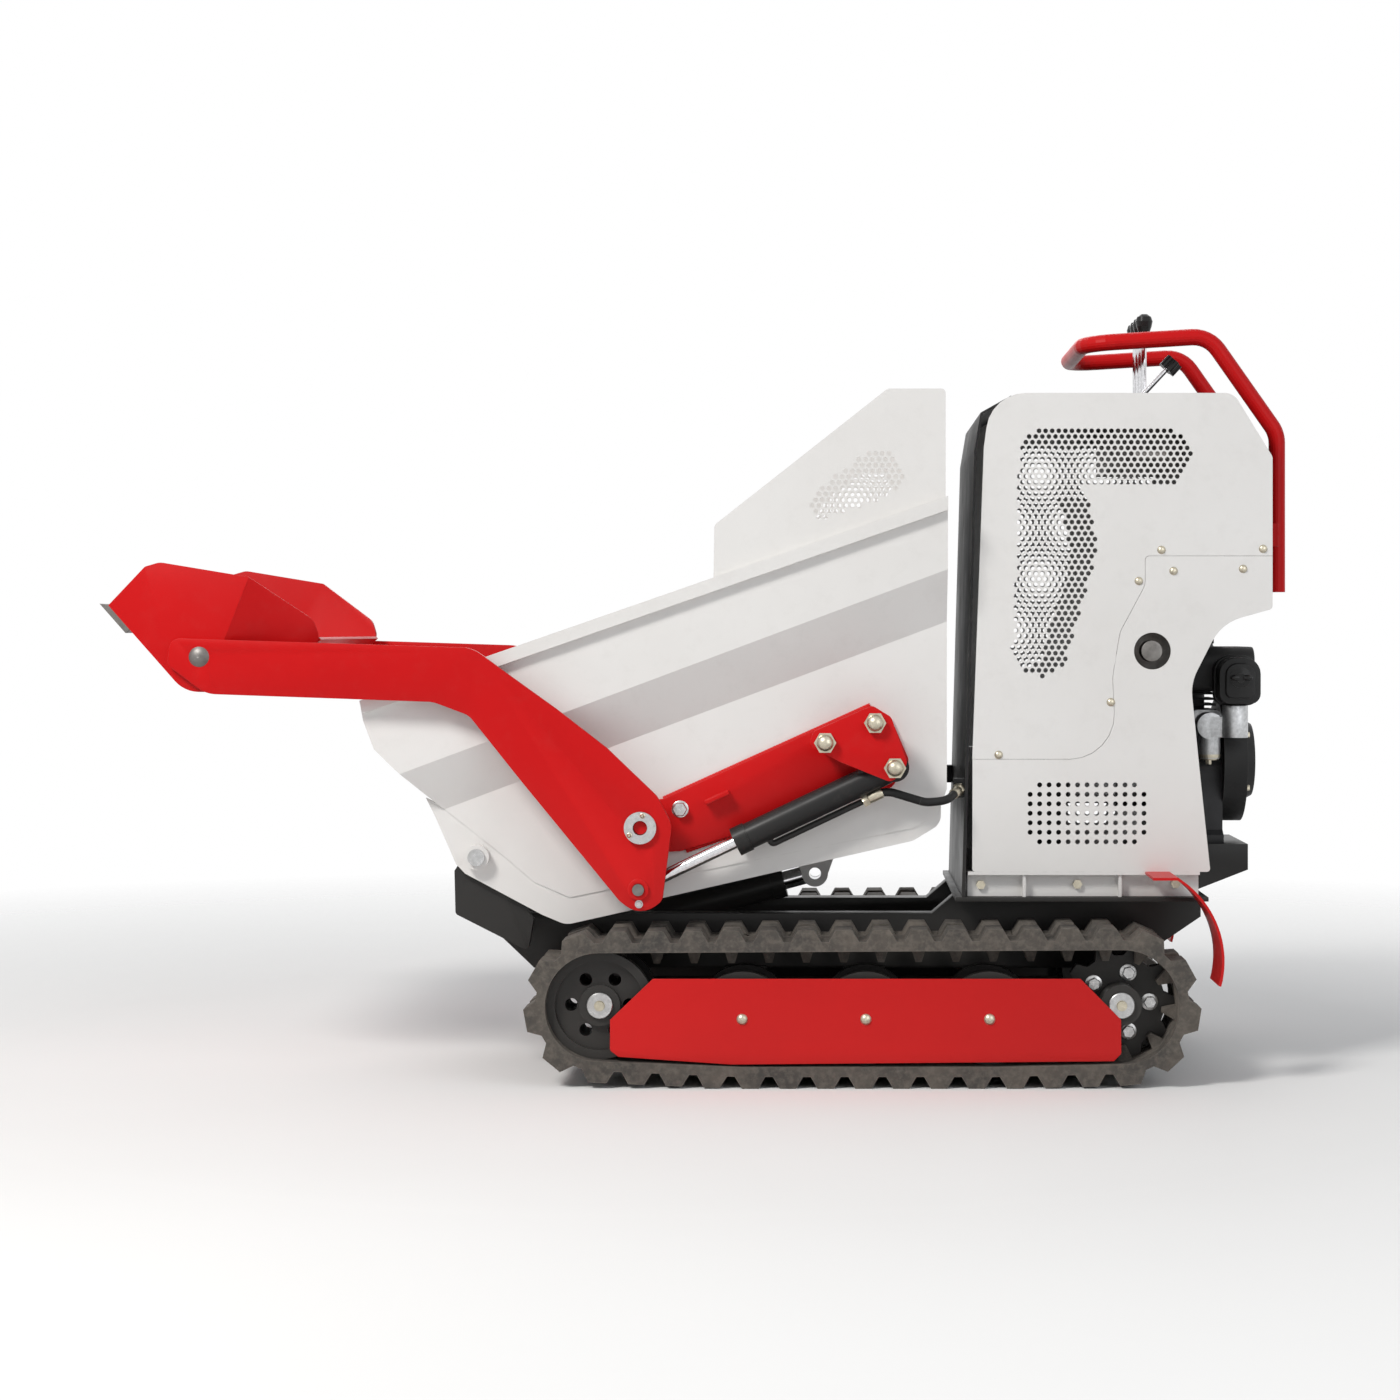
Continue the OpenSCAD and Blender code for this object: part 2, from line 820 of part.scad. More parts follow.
module hopper() {
    lift = 300;
    lug_w = 55;
    color(white)
        difference() {
            union() {
                folded_body(tub_outline(0), 0);
                both_sides() {
                    side_plate([
                        [hinge_x - 98, hinge_z + 111],
                        [hinge_x - 79, hinge_z + 73],
                        [hinge_x - 41, hinge_z - 14],
                        [hinge_x - 24, hinge_z - 32],
                        [-303, 310],
                        [-258, 291, 40],
                        [-133, 319],
                        [-74, 342],
                        [399, 450, 40],
                        [452, 482, 30],
                        [452, 560],
                        [-300, 420]
                    ], skirt_out - skirt_t, skirt_t);
                    pin_y(hinge_x, hinge_z, boss_r, skirt_out - cut, hopper_low_half + 18);
                    side_plate([
                        [rim_front[0] + 8, rim_z(rim_front[0] + 8) - rim_h],
                        [rim_rear[0], rim_rear[1] - rim_h],
                        rim_rear,
                        [rim_front[0] + 2, rim_z(rim_front[0] + 2)]
                    ], hopper_half - cut, rim_out + cut);
                    side_plate([
                        [tip_rod_x - lug_w, 425],
                        [tip_rod_x - 26, tip_rod_z],
                        [tip_rod_x + 26, tip_rod_z],
                        [tip_rod_x + lug_w, 445]
                    ], tip_lug_in, tip_ear_t);
                    pin_y(tip_rod_x, tip_rod_z, 26, tip_lug_in, tip_lug_in + tip_ear_t);
                }
            }
            folded_body(inset(tub_outline(lift), hopper_wall), hopper_wall);
            both_sides()
                pin_y(hinge_x, hinge_z, hinge_d / 2 + fit, skirt_out - skirt_t - cut, hopper_low_half + 20);
            pin_y(tip_rod_x, tip_rod_z, pin_d / 2, -rail_in, rail_in);
        }
}

// Perforated splash guard standing inside the rim
splash_out = hopper_half - hopper_wall;
splash_rear = rim_rear[0] - hopper_wall;
splash_lap = 40;
splash_holes = [[[229, 1085, 32], [333, 1142, 50]]];

module splash_guard() {
    front_x = 23;
    top_z = 1302;
    places = stagger_places(splash_holes, 190, 390, 1050, 1200);
    color(white) {
        both_sides()
            side_slab(splash_out - splash_t, splash_t)
                difference() {
                    polygon(outline([
                        [front_x, rim_z(front_x) - splash_lap],
                        [splash_rear, rim_z(splash_rear) - splash_lap],
                        [splash_rear, top_z, 8],
                        [350, top_z, 12],
                        [front_x + 2, 1046, 12]
                    ]));
                    small_holes(places);
                }
        translate([splash_rear - splash_t, -splash_out + splash_t - cut, rim_z(splash_rear) - splash_lap])
            cube([splash_t, 2 * (splash_out - splash_t + cut), top_z - 12 - rim_z(splash_rear) + splash_lap]);
    }
}

// Red plates that carry the lift arms and the loader cylinders
mount_t = 10;
mount_face = hopper_low_half + mount_t;
rim_clear = 13;
arm_in = max(hopper_low_half + arm_stand, hopper_half + rim_out + rim_clear);
cylinder_y = arm_in - barrel_clear - barrel_d / 2;
bracket_in = cylinder_y + barrel_d / 2 + 4;
bracket_t = 8;
function by_base(x, z, r) = [base_pin_x + x, base_pin_z + z, r];
function by_pivot(x, z, r) = [pivot_x + x, pivot_z + z, r];
bracket_bolts = [by_base(-130, 47, 0), by_base(-37, 84, 0)];

module loader_mounts() {
    color(red)
        both_sides() {
            side_plate([
                by_pivot(-40, -55, 20),
                by_pivot(70, -50, 20),
                by_base(-5, -42, 30),
                by_base(30, 8, 20),
                by_base(-7, 93, 20),
                by_base(-43, 116, 20),
                by_pivot(38, 49, 20),
                by_pivot(-40, 40, 20)
            ], hopper_low_half, mount_t);
            translate([pivot_x + 119, mount_face, pivot_z + 39])
                rotate([0, -24, 0])
                    cube([50, 26, 8]);
        }
}

module cylinder_brackets() {
    spacer_r = 15;
    color(red)
        both_sides() {
            side_plate([
                by_base(-160, 42, 12),
                by_base(-102, 11, 30),
                by_base(-5, -28, 16),
                by_base(24, 8, 14),
                by_base(-7, 95, 16),
                by_base(-43, 116, 16),
                by_base(-152, 68, 14)
            ], bracket_in, bracket_t);
            for (p = bracket_bolts)
                pin_y(p[0], p[1], spacer_r, mount_face, bracket_in + cut);
            pin_y(base_pin_x, base_pin_z, pin_d / 2, mount_face, bracket_in + cut);
        }
}

module bracket_nuts() {
    across = 36;
    nut_h = 12;
    dome_h = 12;
    face = bracket_in + bracket_t;
    color(zinc)
        both_sides()
            for (p = concat(bracket_bolts, [[base_pin_x, base_pin_z]])) {
                hex_y(p[0], p[1], across, face, face + nut_h);
                dome_y(p[0], p[1], across / 2 - 2, face + nut_h - 0.5, dome_h);
            }
}

module arm_pivots() {
    spacer_r = 24;
    collar_r = 30;
    collar_t = 8;
    wall = 5;
    hollow = 40;
    collar_in = arm_in + arm_t + face_gap;
    collar_out = collar_in + collar_t;
    color(steel)
        both_sides()
            difference() {
                union() {
                    pin_y(pivot_x, pivot_z, spacer_r, mount_face, arm_in - face_gap);
                    pin_y(pivot_x, pivot_z, pivot_d / 2, mount_face, collar_out);
                    pin_y(pivot_x, pivot_z, collar_r, collar_in, collar_out);
                }
                pin_y(pivot_x, pivot_z, pivot_d / 2 - wall, collar_out - hollow, collar_out + cut);
            }
}

// Lift arms
rod_boss_r = 19.5;
rod_boss_t = 6;
shovel_bolt = [-932, 799];

module lift_arms() {
    color(red)
        both_sides()
            difference() {
                union() {
                    side_plate([
                        [shovel_bolt[0] - 53, shovel_bolt[1] + 35, 20],
                        [shovel_bolt[0] - 60, shovel_bolt[1] - 14, 18],
                        [shovel_bolt[0] + 12, shovel_bolt[1] - 69, 60],
                        by_pivot(-386, 234, 60),
                        by_pivot(-319, 209, 40),
                        flat(by_pivot(-225, 91)),
                        flat(by_pivot(-130, -24)),
                        by_pivot(-39, -136, 30),
                        [rod_pin_x + 4, rod_pin_z - 52, 45],
                        by_pivot(41, -136, 20),
                        by_pivot(59, 6, 40),
                        by_pivot(31, 59, 40),
                        flat(by_pivot(-63, 149)),
                        flat(by_pivot(-156, 221)),
                        flat(by_pivot(-252, 290)),
                        by_pivot(-313, 335, 60)
                    ], arm_in, arm_t);
                    pin_y(rod_pin_x, rod_pin_z, rod_boss_r,
                          arm_in + arm_t - cut, arm_in + arm_t + rod_boss_t);
                }
                pin_y(pivot_x, pivot_z, pivot_d / 2 + fit, arm_in - cut, arm_in + arm_t + cut);
                pin_y(rod_pin_x, rod_pin_z, pin_d / 2 - 1, arm_in - cut, arm_in + arm_t + rod_boss_t + cut);
                pin_y(shovel_bolt[0], shovel_bolt[1], pin_d / 2, arm_in - cut, arm_in + arm_t + cut);
            }
}

module arm_bolts() {
    head_r = 19;
    head_h = 8;
    face = arm_in + arm_t;
    color(steel)
        both_sides() {
            pin_y(rod_pin_x, rod_pin_z, pin_d / 2 - 1 - fit, arm_in, face + rod_boss_t + 4);
            pin_y(shovel_bolt[0], shovel_bolt[1], pin_d / 2 - fit, arm_in, face + fit);
            dome_y(shovel_bolt[0], shovel_bolt[1], head_r, face, head_h);
        }
}

// Shovel, drawn with its floor along local x and its depth along local z
module at_shovel() {
    translate([lip_x, 0, lip_z])
        rotate([0, shovel_tilt, 0])
            children();
}

shovel_floor = 215;
shovel_back_low = [299, 93];
shovel_back_high = [304, 248];
// Behind a slanted line each side plate folds inward, about the middle of its sheet
fold_high = [133, 231];
fold_low = [189, 122];
side_fold = 17.6;
fold_lap = 1.5;
fold_tuck = 2;
fold_reach = 500;
fold_run = unit(fold_low - fold_high);
fold_back = [-fold_run[1], fold_run[0]];
side_middle = arm_in - shovel_t / 2;

// Side outline, whose floor and back edges lie in from the sheet by the given tuck
function shovel_outline(tuck) = outline([
    [0, tuck],
    [shovel_floor, tuck, 60],
    [shovel_back_low[0] - tuck, shovel_back_low[1], 60],
    [shovel_back_high[0] - tuck, shovel_back_high[1], 20],
    [267, 263, 30],
    fold_high,
    [3, 125, 30],
    [-9, 99, 10]
]);

// Points behind the fold line move back, so that the folded plate still ends at the back sheet
function behind(p) = max(0, (flat(p) - fold_high) * fold_back);
function unfolded(p) = flat(p) + fold_back * behind(p) * (1 / cos(side_fold) - 1);

// Half plane in front of the fold line for way -1, which laps past it, and behind the line for way 1
module fold_half(way) {
    start = way > 0 ? fold_high : fold_high + fold_lap * fold_back;
    ends = [start - fold_reach * fold_run, start + fold_reach * fold_run];
    far = way * fold_reach * fold_back;
    polygon([ends[0], ends[1], ends[1] + far, ends[0] + far]);
}

module fold_inward() {
    hinge = [fold_high[0], side_middle, fold_high[1]];
    translate(hinge)
        rotate(side_fold, [fold_run[0], 0, fold_run[1]])
            translate(-hinge)
                children();
}

module shovel_front() {
    side_slab(arm_in - shovel_t, shovel_t)
        intersection() {
            polygon(shovel_outline(0));
            fold_half(-1);
        }
}

module shovel_wing() {
    fold_inward()
        side_slab(arm_in - shovel_t, shovel_t)
            intersection() {
                polygon([for (p = shovel_outline(fold_tuck)) unfolded(p)]);
                fold_half(1);
            }
}

module shovel() {
    shell = [
        [0, 0],
        [shovel_floor, 0, 60],
        [shovel_back_low[0], shovel_back_low[1], 60],
        [shovel_back_high[0], shovel_back_high[1]],
        [shovel_back_high[0] - shovel_t, shovel_back_high[1]],
        [shovel_back_low[0] - shovel_t, shovel_back_low[1] + 3, 55],
        [shovel_floor - 3, shovel_t, 55],
        [0, shovel_t]
    ];
    color(red)
        at_shovel() {
            difference() {
                side_plate(shell, -arm_in, 2 * arm_in);
                both_sides()
                    fold_inward()
                        side_slab(side_middle, fold_reach)
                            fold_half(1);
            }
            both_sides() {
                shovel_front();
                shovel_wing();
            }
        }
}

module cutting_edge() {
    edge_len = 60;
    edge_t = 10;
    nose = 13;
    color(steel)
        at_shovel()
            side_plate([[-nose, -edge_t], [edge_len, -edge_t], [edge_len, 0], [0, 0]], -arm_in, 2 * arm_in);
}

// Hydraulic cylinders, drawn along local x from the base pin
function reach(a, b) = norm([b[0] - a[0], b[1] - a[1]]);
loader_base = [base_pin_x, base_pin_z];
loader_rod = [rod_pin_x, rod_pin_z];
loader_len = reach(loader_base, loader_rod);
tip_base = [tip_base_x, tip_base_z];
tip_rod_pin = [tip_rod_x, tip_rod_z];
tip_len = reach(tip_base, tip_rod_pin);

module along_cylinder(a, b, y) {
    translate([a[0], y, a[1]])
        rotate([0, -atan2(b[1] - a[1], b[0] - a[0]), 0])
            children();
}

module x_bar(r, x0, x1) {
    translate([x0, 0, 0])
        rotate([0, 90, 0])
            cylinder(r = r, h = x1 - x0);
}

module cylinder_barrel(d, start, len, bore_d, rod_d, eye_r, eye_half, pin_r, wall_end) {
    gland = 26;
    gland_d = d + 5;
    difference() {
        union() {
            x_bar(d / 2, start, len);
            x_bar(min(d / 2, eye_half), 0, start + cut);
            x_bar(gland_d / 2, len - gland, len);
            rotate([90, 0, 0])
                cylinder(r = eye_r, h = 2 * eye_half, center = true);
        }
        x_bar(bore_d / 2, wall_end, len - gland);
        x_bar(rod_d / 2 + fit, wall_end, len + cut);
        rotate([90, 0, 0])
            cylinder(r = pin_r + fit, h = 4 * eye_half, center = true);
    }
}

loader_bore = barrel_d - 10;
loader_eye_half = 24;
loader_rod_len = 345;
port_x = 70;

module loader_barrel(side) {
    pipe_r = 6;
    pipe_sides = 10;
    pipe_drop = barrel_d / 2 + 8;
    color(black)
        along_cylinder(loader_base, loader_rod, side * cylinder_y) {
            cylinder_barrel(barrel_d, 16, barrel_len, loader_bore, rod_d, 27, loader_eye_half, pin_d / 2, 40);
            bent_tube([
                [barrel_len - 60, 0, barrel_d / 2 - 2],
                [barrel_len - 60, 0, pipe_drop],
                [port_x, 0, pipe_drop]
            ], pipe_r, 7, pipe_sides);
        }
}

module left_barrel() {
    loader_barrel(-1);
}

module right_barrel() {
    loader_barrel(1);
}

module cylinder_rod(d, len, rod_len, piston_d, piston_t) {
    x_bar(d / 2, len - rod_len, len);
    x_bar(piston_d / 2 - fit, len - rod_len, len - rod_len + piston_t);
}

module loader_rod_end(side) {
    eye_r = 27;
    eye_in = 12;
    eye_y = arm_in - face_gap - cylinder_y;
    color(chrome)
        along_cylinder(loader_base, loader_rod, side * cylinder_y) {
            difference() {
                union() {
                    cylinder_rod(rod_d, loader_len, loader_rod_len, loader_bore, 22);
                    pin_y(loader_len, 0, eye_r, side > 0 ? -eye_in : -eye_y, side > 0 ? eye_y : eye_in);
                }
                pin_y(loader_len, 0, pin_d / 2, -arm_in, arm_in);
            }
        }
}

module left_rod() {
    loader_rod_end(-1);
}

module right_rod() {
    loader_rod_end(1);
}

tip_barrel_len = 425;
tip_bore = tip_barrel_d - 12;

module tip_barrel() {
    color(black)
        along_cylinder(tip_base, tip_rod_pin, 0)
            cylinder_barrel(tip_barrel_d, tip_ear_r + 14, tip_barrel_len, tip_bore, tip_rod_d, 26,
                tip_ear_in - face_gap, pin_d / 2, 44);
}

module tip_rod() {
    eye_r = 26;
    color(chrome)
        along_cylinder(tip_base, tip_rod_pin, 0)
            difference() {
                union() {
                    cylinder_rod(tip_rod_d, tip_len, 395, tip_bore, 30);
                    pin_y(tip_len, 0, eye_r, -tip_lug_in + face_gap, tip_lug_in - face_gap);
                }
                pin_y(tip_len, 0, pin_d / 2, -tip_lug_in, tip_lug_in);
            }
}

// Console side panels
seam_z = 604;
seam_rear_z = 990;
function seam(dx, dz) = [
    [512 + dx, seam_z + dz],
    [786 + dx, seam_z + dz, 85],
    [778 + dx, 760 + dz, 90],
    [792 + dx, 845 + dz, 60],
    [840 + dx, 935 + dz, 40],
    [840 + dx, seam_rear_z + dz, 8],
    [console_rear, seam_rear_z + dz]
];
upper_holes = [
    [[657, 1178, 60], [872, 1179, 59]],
    [[657, 1178, 60], [673, 1010, 80]],
    [[673, 1010, 80], [641, 815, 58]]
];

module upper_panels() {
    places = stagger_places(upper_holes, 570, 950, 740, 1250);
    color(white)
        both_sides()
            side_slab(panel_out - sheet_t, sheet_t)
                difference() {
                    polygon(outline(concat(seam(0, 0), [
                        [console_rear, 1178, 12],
                        [1008, console_top, 30],
                        [548, console_top, 75],
                        [534, 1196]
                    ])));
                    small_holes(places);
                }
}

vent_middle = [730, 501];
vent_half_w = 129;
vent_half_h = 73;
exhaust = [854, 809];

module vent_holes() {
    nx = floor(vent_half_w / vent_pitch);
    nz = floor(vent_half_h / vent_pitch);
    straight = vent_half_w - vent_half_h;
    for (i = [-nx : nx])
        for (j = [-nz : nz])
            let (p = vent_pitch * [i, j])
                if (norm([max(0, abs(p[0]) - straight), p[1]]) <= vent_half_h - vent_hole / 2)
                    translate(vent_middle + p)
                        circle(d = vent_hole, $fn = 16);
}

flange_top = deck_z + 48;

module lower_panels() {
    color(white)
        both_sides()
            side_slab(panel_out - sheet_t, sheet_t)
                difference() {
                    polygon(outline(concat(seam(seam_gap, -seam_gap), [
                        [console_rear, 889, 8],
                        [985, 862, 90],
                        [927, 748, 90],
                        [942, 598],
                        [964, flange_top, 6],
                        [512, flange_top, 6]
                    ])));
                    vent_holes();
                    translate(exhaust)
                        circle(d = exhaust_hole_d);
                }
}

// Black cover that folds from the front over the top to the rear
lever_n = 4;
function lever_y(i) = (i - (lever_n - 1) / 2) * lever_pitch;
throttle_x = 822;
throttle_y = -150;
throttle_z = 1276;
throttle_tilt = 43;
throttle_len = 133;
cover_half = panel_out - sheet_t;
cover_top = console_top - 5;
cover_rear = console_rear - 6;
function cover_outline(out) = [
    [492, deck_z - out],
    [cover_rear, deck_z - out],
    [cover_rear, 1176],
    [1003, cover_top],
    [585, cover_top],
    [528, 1262],
    [516, 1190]
];
hose_block = [478, 548];

module console_cover() {
    slot_len = 56;
    slot_w = 16;
    throttle_slot = 60;
    floor_cut = 120;
    block = [20, 30, 36];
    color(black)
        difference() {
            union() {
                side_slab(-cover_half, 2 * cover_half)
                    polygon(cover_outline(0));
                both_sides()
                    translate([hose_block[0], cover_half - 11 - block[1], hose_block[1] - block[2] / 2])
                        cube(block);
            }
            side_slab(-cover_half - cut, 2 * (cover_half + cut))
                polygon(inset(cover_outline(floor_cut), sheet_t));
            translate([cover_rear - sheet_t - cut, -cover_half - cut, deck_z - cut])
                cube([sheet_t + 2 * cut, 2 * (cover_half + cut), seam_rear_z - deck_z]);
            for (i = [0 : lever_n - 1])
                translate([lever_x - slot_len / 2, lever_y(i) - slot_w / 2, cover_top - 2 * sheet_t])
                    cube([slot_len, slot_w, 4 * sheet_t]);
            translate([throttle_x - 5, throttle_y - slot_w / 2, cover_top - 2 * sheet_t])
                cube([throttle_slot, slot_w, 4 * sheet_t]);
        }
}

// White channel that bolts the console to the deck
// Angle under each side panel: an upright set back from the panel, a shelf below its edge, and two ribs
flange_back = 20;
flange_face = panel_out - flange_back;
flange_front = 504;
flange_len = 440;
flange_ribs = [608, 790];

module base_flanges() {
    flange_t = 8;
    shelf_t = 6;
    rib = 6;
    rib_back = 4;
    color(white)
        both_sides() {
            translate([flange_front, flange_face - flange_t, deck_z])
                cube([flange_len, flange_t, flange_top - deck_z]);
            translate([flange_front, flange_face - cut, flange_top - shelf_t])
                cube([flange_len, flange_back + cut, shelf_t]);
            for (x = flange_ribs)
                translate([x, flange_face - cut, deck_z])
                    cube([rib, flange_back - rib_back + cut, flange_top - deck_z - shelf_t + cut]);
        }
}

// Visible bolts and screws
panel_screws = [[871, 1001], [1064, 1003], [828, 942], [775, 712], [562, 612]];
lower_screws = [[894, 961], [1026, 965]];
flange_bolts = [[529, 364], [713, 365], [900, 366]];

module fasteners() {
    screw_r = 8;
    screw_h = 5;
    bolt_r = 10.5;
    washer_r = 23.5;
    nut_r = 9;
    wheel_end = wheel_face + run_gap;
    color(zinc)
        both_sides() {
            for (p = concat(panel_screws, lower_screws))
                dome_y(p[0], p[1], screw_r, panel_out, screw_h);
            for (p = flange_bolts)
                hex_y(p[0], p[1], 2 * screw_r, flange_face, flange_face + screw_h + 2);
            for (i = [0 : 2])
                dome_y(road_x(i), road_z, bolt_r, guard_y + guard_t, 6);
            for (x = [idler_x, sprocket_x]) {
                pin_y(x, axle_z, washer_r, wheel_end, wheel_end + washer_t);
                pin_y(x, axle_z, nut_r, wheel_end + washer_t - cut, wheel_end + washer_t + 7);
            }
        }
}

// Engine
crank_x0 = 872;
crank_x1 = 1015;
crank_half = 92;
crank_z = 560;
crankcase_top = 640;
fin_n = 8;
fin_pitch = 11;
fin_half = 54;
shroud_r = 122;
fuel_half = 118;
fuel_z = crankcase_top + fin_n * fin_pitch;

// Engine fittings lie on the left side
module left_side() {
    mirror([0, 1, 0])
        children();
}

module engine_block() {
    foot_h = 16;
    fin_t = 4;
    fin_len = 128;
    bore_r = 48;
    color(black) {
        translate([crank_x0, 0, 0])
            rotate([90, 0, 90])
                linear_extrude(crank_x1 - crank_x0)
                    polygon(outline([
                        [-crank_half - 18, stand_z], [crank_half + 18, stand_z],
                        [crank_half + 18, stand_z + foot_h], [crank_half, stand_z + foot_h + 10],
                        [crank_half, crank_z + 50, 40], [crank_half - 50, crankcase_top, 20],
                        [-crank_half + 20, crankcase_top, 20], [-crank_half, crank_z + 20, 30],
                        [-crank_half, stand_z + foot_h + 10], [-crank_half - 18, stand_z + foot_h]
                    ]));
        translate([(crank_x0 + crank_x1) / 2, 0, crankcase_top - cut]) {
            cylinder(r = bore_r, h = fin_n * fin_pitch + cut);
            for (i = [0 : fin_n - 1])
                translate([-fin_len / 2, -fin_half, i * fin_pitch + fin_t + cut])
                    cube([fin_len, 2 * fin_half, fin_t]);
        }
    }
}

module engine_shroud() {
    depth = 46;
    cap_r = 84;
    cap_h = 22;
    slot_n = 12;
    color(black)
        translate([crank_x1, 0, crank_z + 30])
            rotate([0, 90, 0])
                difference() {
                    union() {
                        cylinder(r = shroud_r, h = depth);
                        translate([0, 0, depth - cut])
                            cylinder(r1 = cap_r, r2 = cap_r - 12, h = cap_h + cut);
                    }
                    for (i = [0 : slot_n - 1])
                        rotate(360 / slot_n * i)
                            translate([44, -5, depth + cap_h - 8])
                                cube([26, 10, 10]);
                }
}

module fuel_tank() {
    tank_x = 885;
    tank_len = 190;
    tank_top = fuel_z + 88;
    cap_r = 28;
    cap_h = 22;
    color(black) {
        translate([tank_x, 0, 0])
            rotate([90, 0, 90])
                linear_extrude(tank_len)
                    polygon(outline([
                        [-fuel_half, fuel_z, 14],
                        [fuel_half, fuel_z, 14],
                        [fuel_half, tank_top, 30],
                        [-fuel_half, tank_top, 30]
                    ]));
        translate([tank_x + 100, 30, tank_top - cut])
            cylinder(r = cap_r, h = cap_h + cut);
    }
}

air_in = crank_half + 34;
air_low = 702;
intake = [983, 662];
elbow_x = 1030;
elbow_y = air_in + 30;

// Black cleaner housing in three steps: tray, cover and a raised panel
module air_cleaner() {
    tray_t = 20;
    cover_t = 50;
    panel_t = 8;
    case = [[990, air_low, 22], [1078, air_low, 22], [1078, 800, 34], [990, 800, 34]];
    cover = [[994, air_low + 4, 20], [1074, air_low + 4, 20], [1074, 796, 32], [994, 796, 32]];
    panel = [[1006, air_low + 16, 12], [1062, air_low + 16, 12], [1062, 784, 22], [1006, 784, 22]];
    color(black)
        left_side() {
            side_plate(case, air_in, tray_t);
            side_plate(cover, air_in + tray_t - cut, cover_t + cut);
            side_plate(panel, air_in + tray_t + cover_t - cut, panel_t + cut);
        }
}

module carburettor() {
    flange_t = 10;
    body_r = 26;
    bowl_r = 23;
    bowl_low = 598;
    pipe_r = 15;
    body_end = crank_half + 62;
    color(steel)
        left_side() {
            pin_y(intake[0], intake[1], pipe_r, fin_half, crank_half + cut);
            side_plate([[952, 632, 14], [1012, 632, 14], [1012, 692, 14], [952, 692, 14]],
                       crank_half, flange_t);
            pin_y(intake[0], intake[1], body_r, crank_half + flange_t - cut, body_end);
            translate([intake[0], body_end - bowl_r - flange_t, bowl_low])
                cylinder(r = bowl_r, h = intake[1] - bowl_low);
            side_plate([
                [intake[0], intake[1] - body_r + 4],
                [elbow_x + 10, intake[1] - body_r + 4, 12],
                [elbow_x + 10, intake[1] + body_r - 8, 12],
                [intake[0], intake[1] + body_r - 8]
            ], shroud_r + face_gap, 32);
            translate([elbow_x, elbow_y, intake[1] - body_r + 4])
                cylinder(r = body_r - 1, h = air_low - intake[1] + body_r - 4);
        }
}

module muffler() {
    box_in = 150;
    box_t = 92;
    seam = 5;
    strap = [885, 770];
    color(steel)
        left_side() {
            side_plate([[800, 748, 24], [908, 748, 24], [908, 868, 24], [800, 868, 24]], box_in, box_t);
            side_plate([
                [800 - seam, 748 - seam, 28],
                [908 + seam, 748 - seam, 28],
                [908 + seam, 868 + seam, 28],
                [800 - seam, 868 + seam, 28]
            ], box_in + box_t / 2 - seam, 2 * seam);
            pin_y(exhaust[0], exhaust[1], 20, box_in + box_t - cut, panel_out - 8);
            translate([strap[0], fuel_half, strap[1]])
                cube([18, box_in + cut - fuel_half, 30]);
        }
}

module gear_pump() {
    bell_r = 68;
    bell_len = 62;
    pump_len = 96;
    pump = [[-48, -56, 20], [48, -56, 20], [48, 56, 20], [-48, 56, 20]];
    port_r = 17;
    color(steel)
        translate([crank_x0 - bell_len, 0, crank_z]) {
            rotate([0, 90, 0])
                cylinder(r = bell_r, h = bell_len);
            translate([-pump_len, 0, 0])
                rotate([90, 0, 90])
                    linear_extrude(pump_len + cut)
                        polygon(outline(pump));
            both_sides()
                pin_y(-pump_len / 2, 0, port_r, pump[1][0] - cut, pump[1][0] + port_r);
        }
}

module hydraulic_tank() {
    tank_half = 195;
    color(black) {
        side_plate([
            [540, deck_z, 14], [690, deck_z, 14], [690, 590, 24], [540, 590, 24]
        ], -tank_half, 2 * tank_half);
        translate([640, 120, 589])
            cylinder(r = 34, h = 26);
    }
}

// Spool valve block with the lever clevises
ear_gap = 7.4;
lever_ear_t = 4;
lever_pin_r = 4;

module lever_ears(x, y, z, base) {
    for (s = [-1, 1])
        translate([0, y + s * (ear_gap + lever_ear_t / 2) - lever_ear_t / 2, 0])
            side_plate([[x - 11, base], [x + 11, base], [x + 11, z + 9, 8], [x - 11, z + 9, 8]],
                       0, lever_ear_t);
    pin_y(x, z, lever_pin_r, y - ear_gap - lever_ear_t - 2, y + ear_gap + lever_ear_t + 2);
}

module valve_block() {
    block_z = 1165;
    block_top = lever_z - 17;
    block_half = -throttle_y + 25;
    block_front = min(throttle_x, lever_x) - 30;
    block_rear = max(throttle_x, lever_x) + 65;
    color(steel) {
        translate([block_front, -block_half, block_z])
            cube([block_rear - block_front, 2 * block_half, block_top - block_z]);
        for (i = [0 : lever_n - 1])
            lever_ears(lever_x, lever_y(i), lever_z, block_top - cut);
        lever_ears(throttle_x, throttle_y, throttle_z, block_top - cut);
        both_sides()
            translate([throttle_x, block_half - cut, block_z + 10])
                cube([60, cover_half - block_half + cut, 12]);
    }
}

hub_r_lever = 10;
knob_base = 24;

module lever_rod(len) {
    difference() {
        union() {
            rotate([90, 0, 0])
                cylinder(r = hub_r_lever, h = 2 * (ear_gap - face_gap), center = true);
            translate([0, 0, lever_pin_r + 1])
                cylinder(d = lever_d, h = len - knob_base - lever_pin_r - 1);
        }
        rotate([90, 0, 0])
            cylinder(r = lever_pin_r + fit, h = 4 * ear_gap, center = true);
    }
}

module at_lever(i) {
    translate([lever_x, lever_y(i), lever_z])
        children();
}

module at_throttle() {
    translate([throttle_x, throttle_y, throttle_z])
        rotate([0, throttle_tilt, 0])
            children();
}

module lever(i) {
    color(chrome)
        at_lever(i)
            lever_rod(lever_len);
}

module knob(i) {
    color(black)
        at_lever(i)
            translate([0, 0, lever_len - knob_base])
                rotate_extrude()
                    polygon([[0, 0], [8, 0], [9, 4], [15, 22], [17, 32], [14, 41], [7, 46], [0, 47]]);
}

module lever_1() {
    lever(0);
}

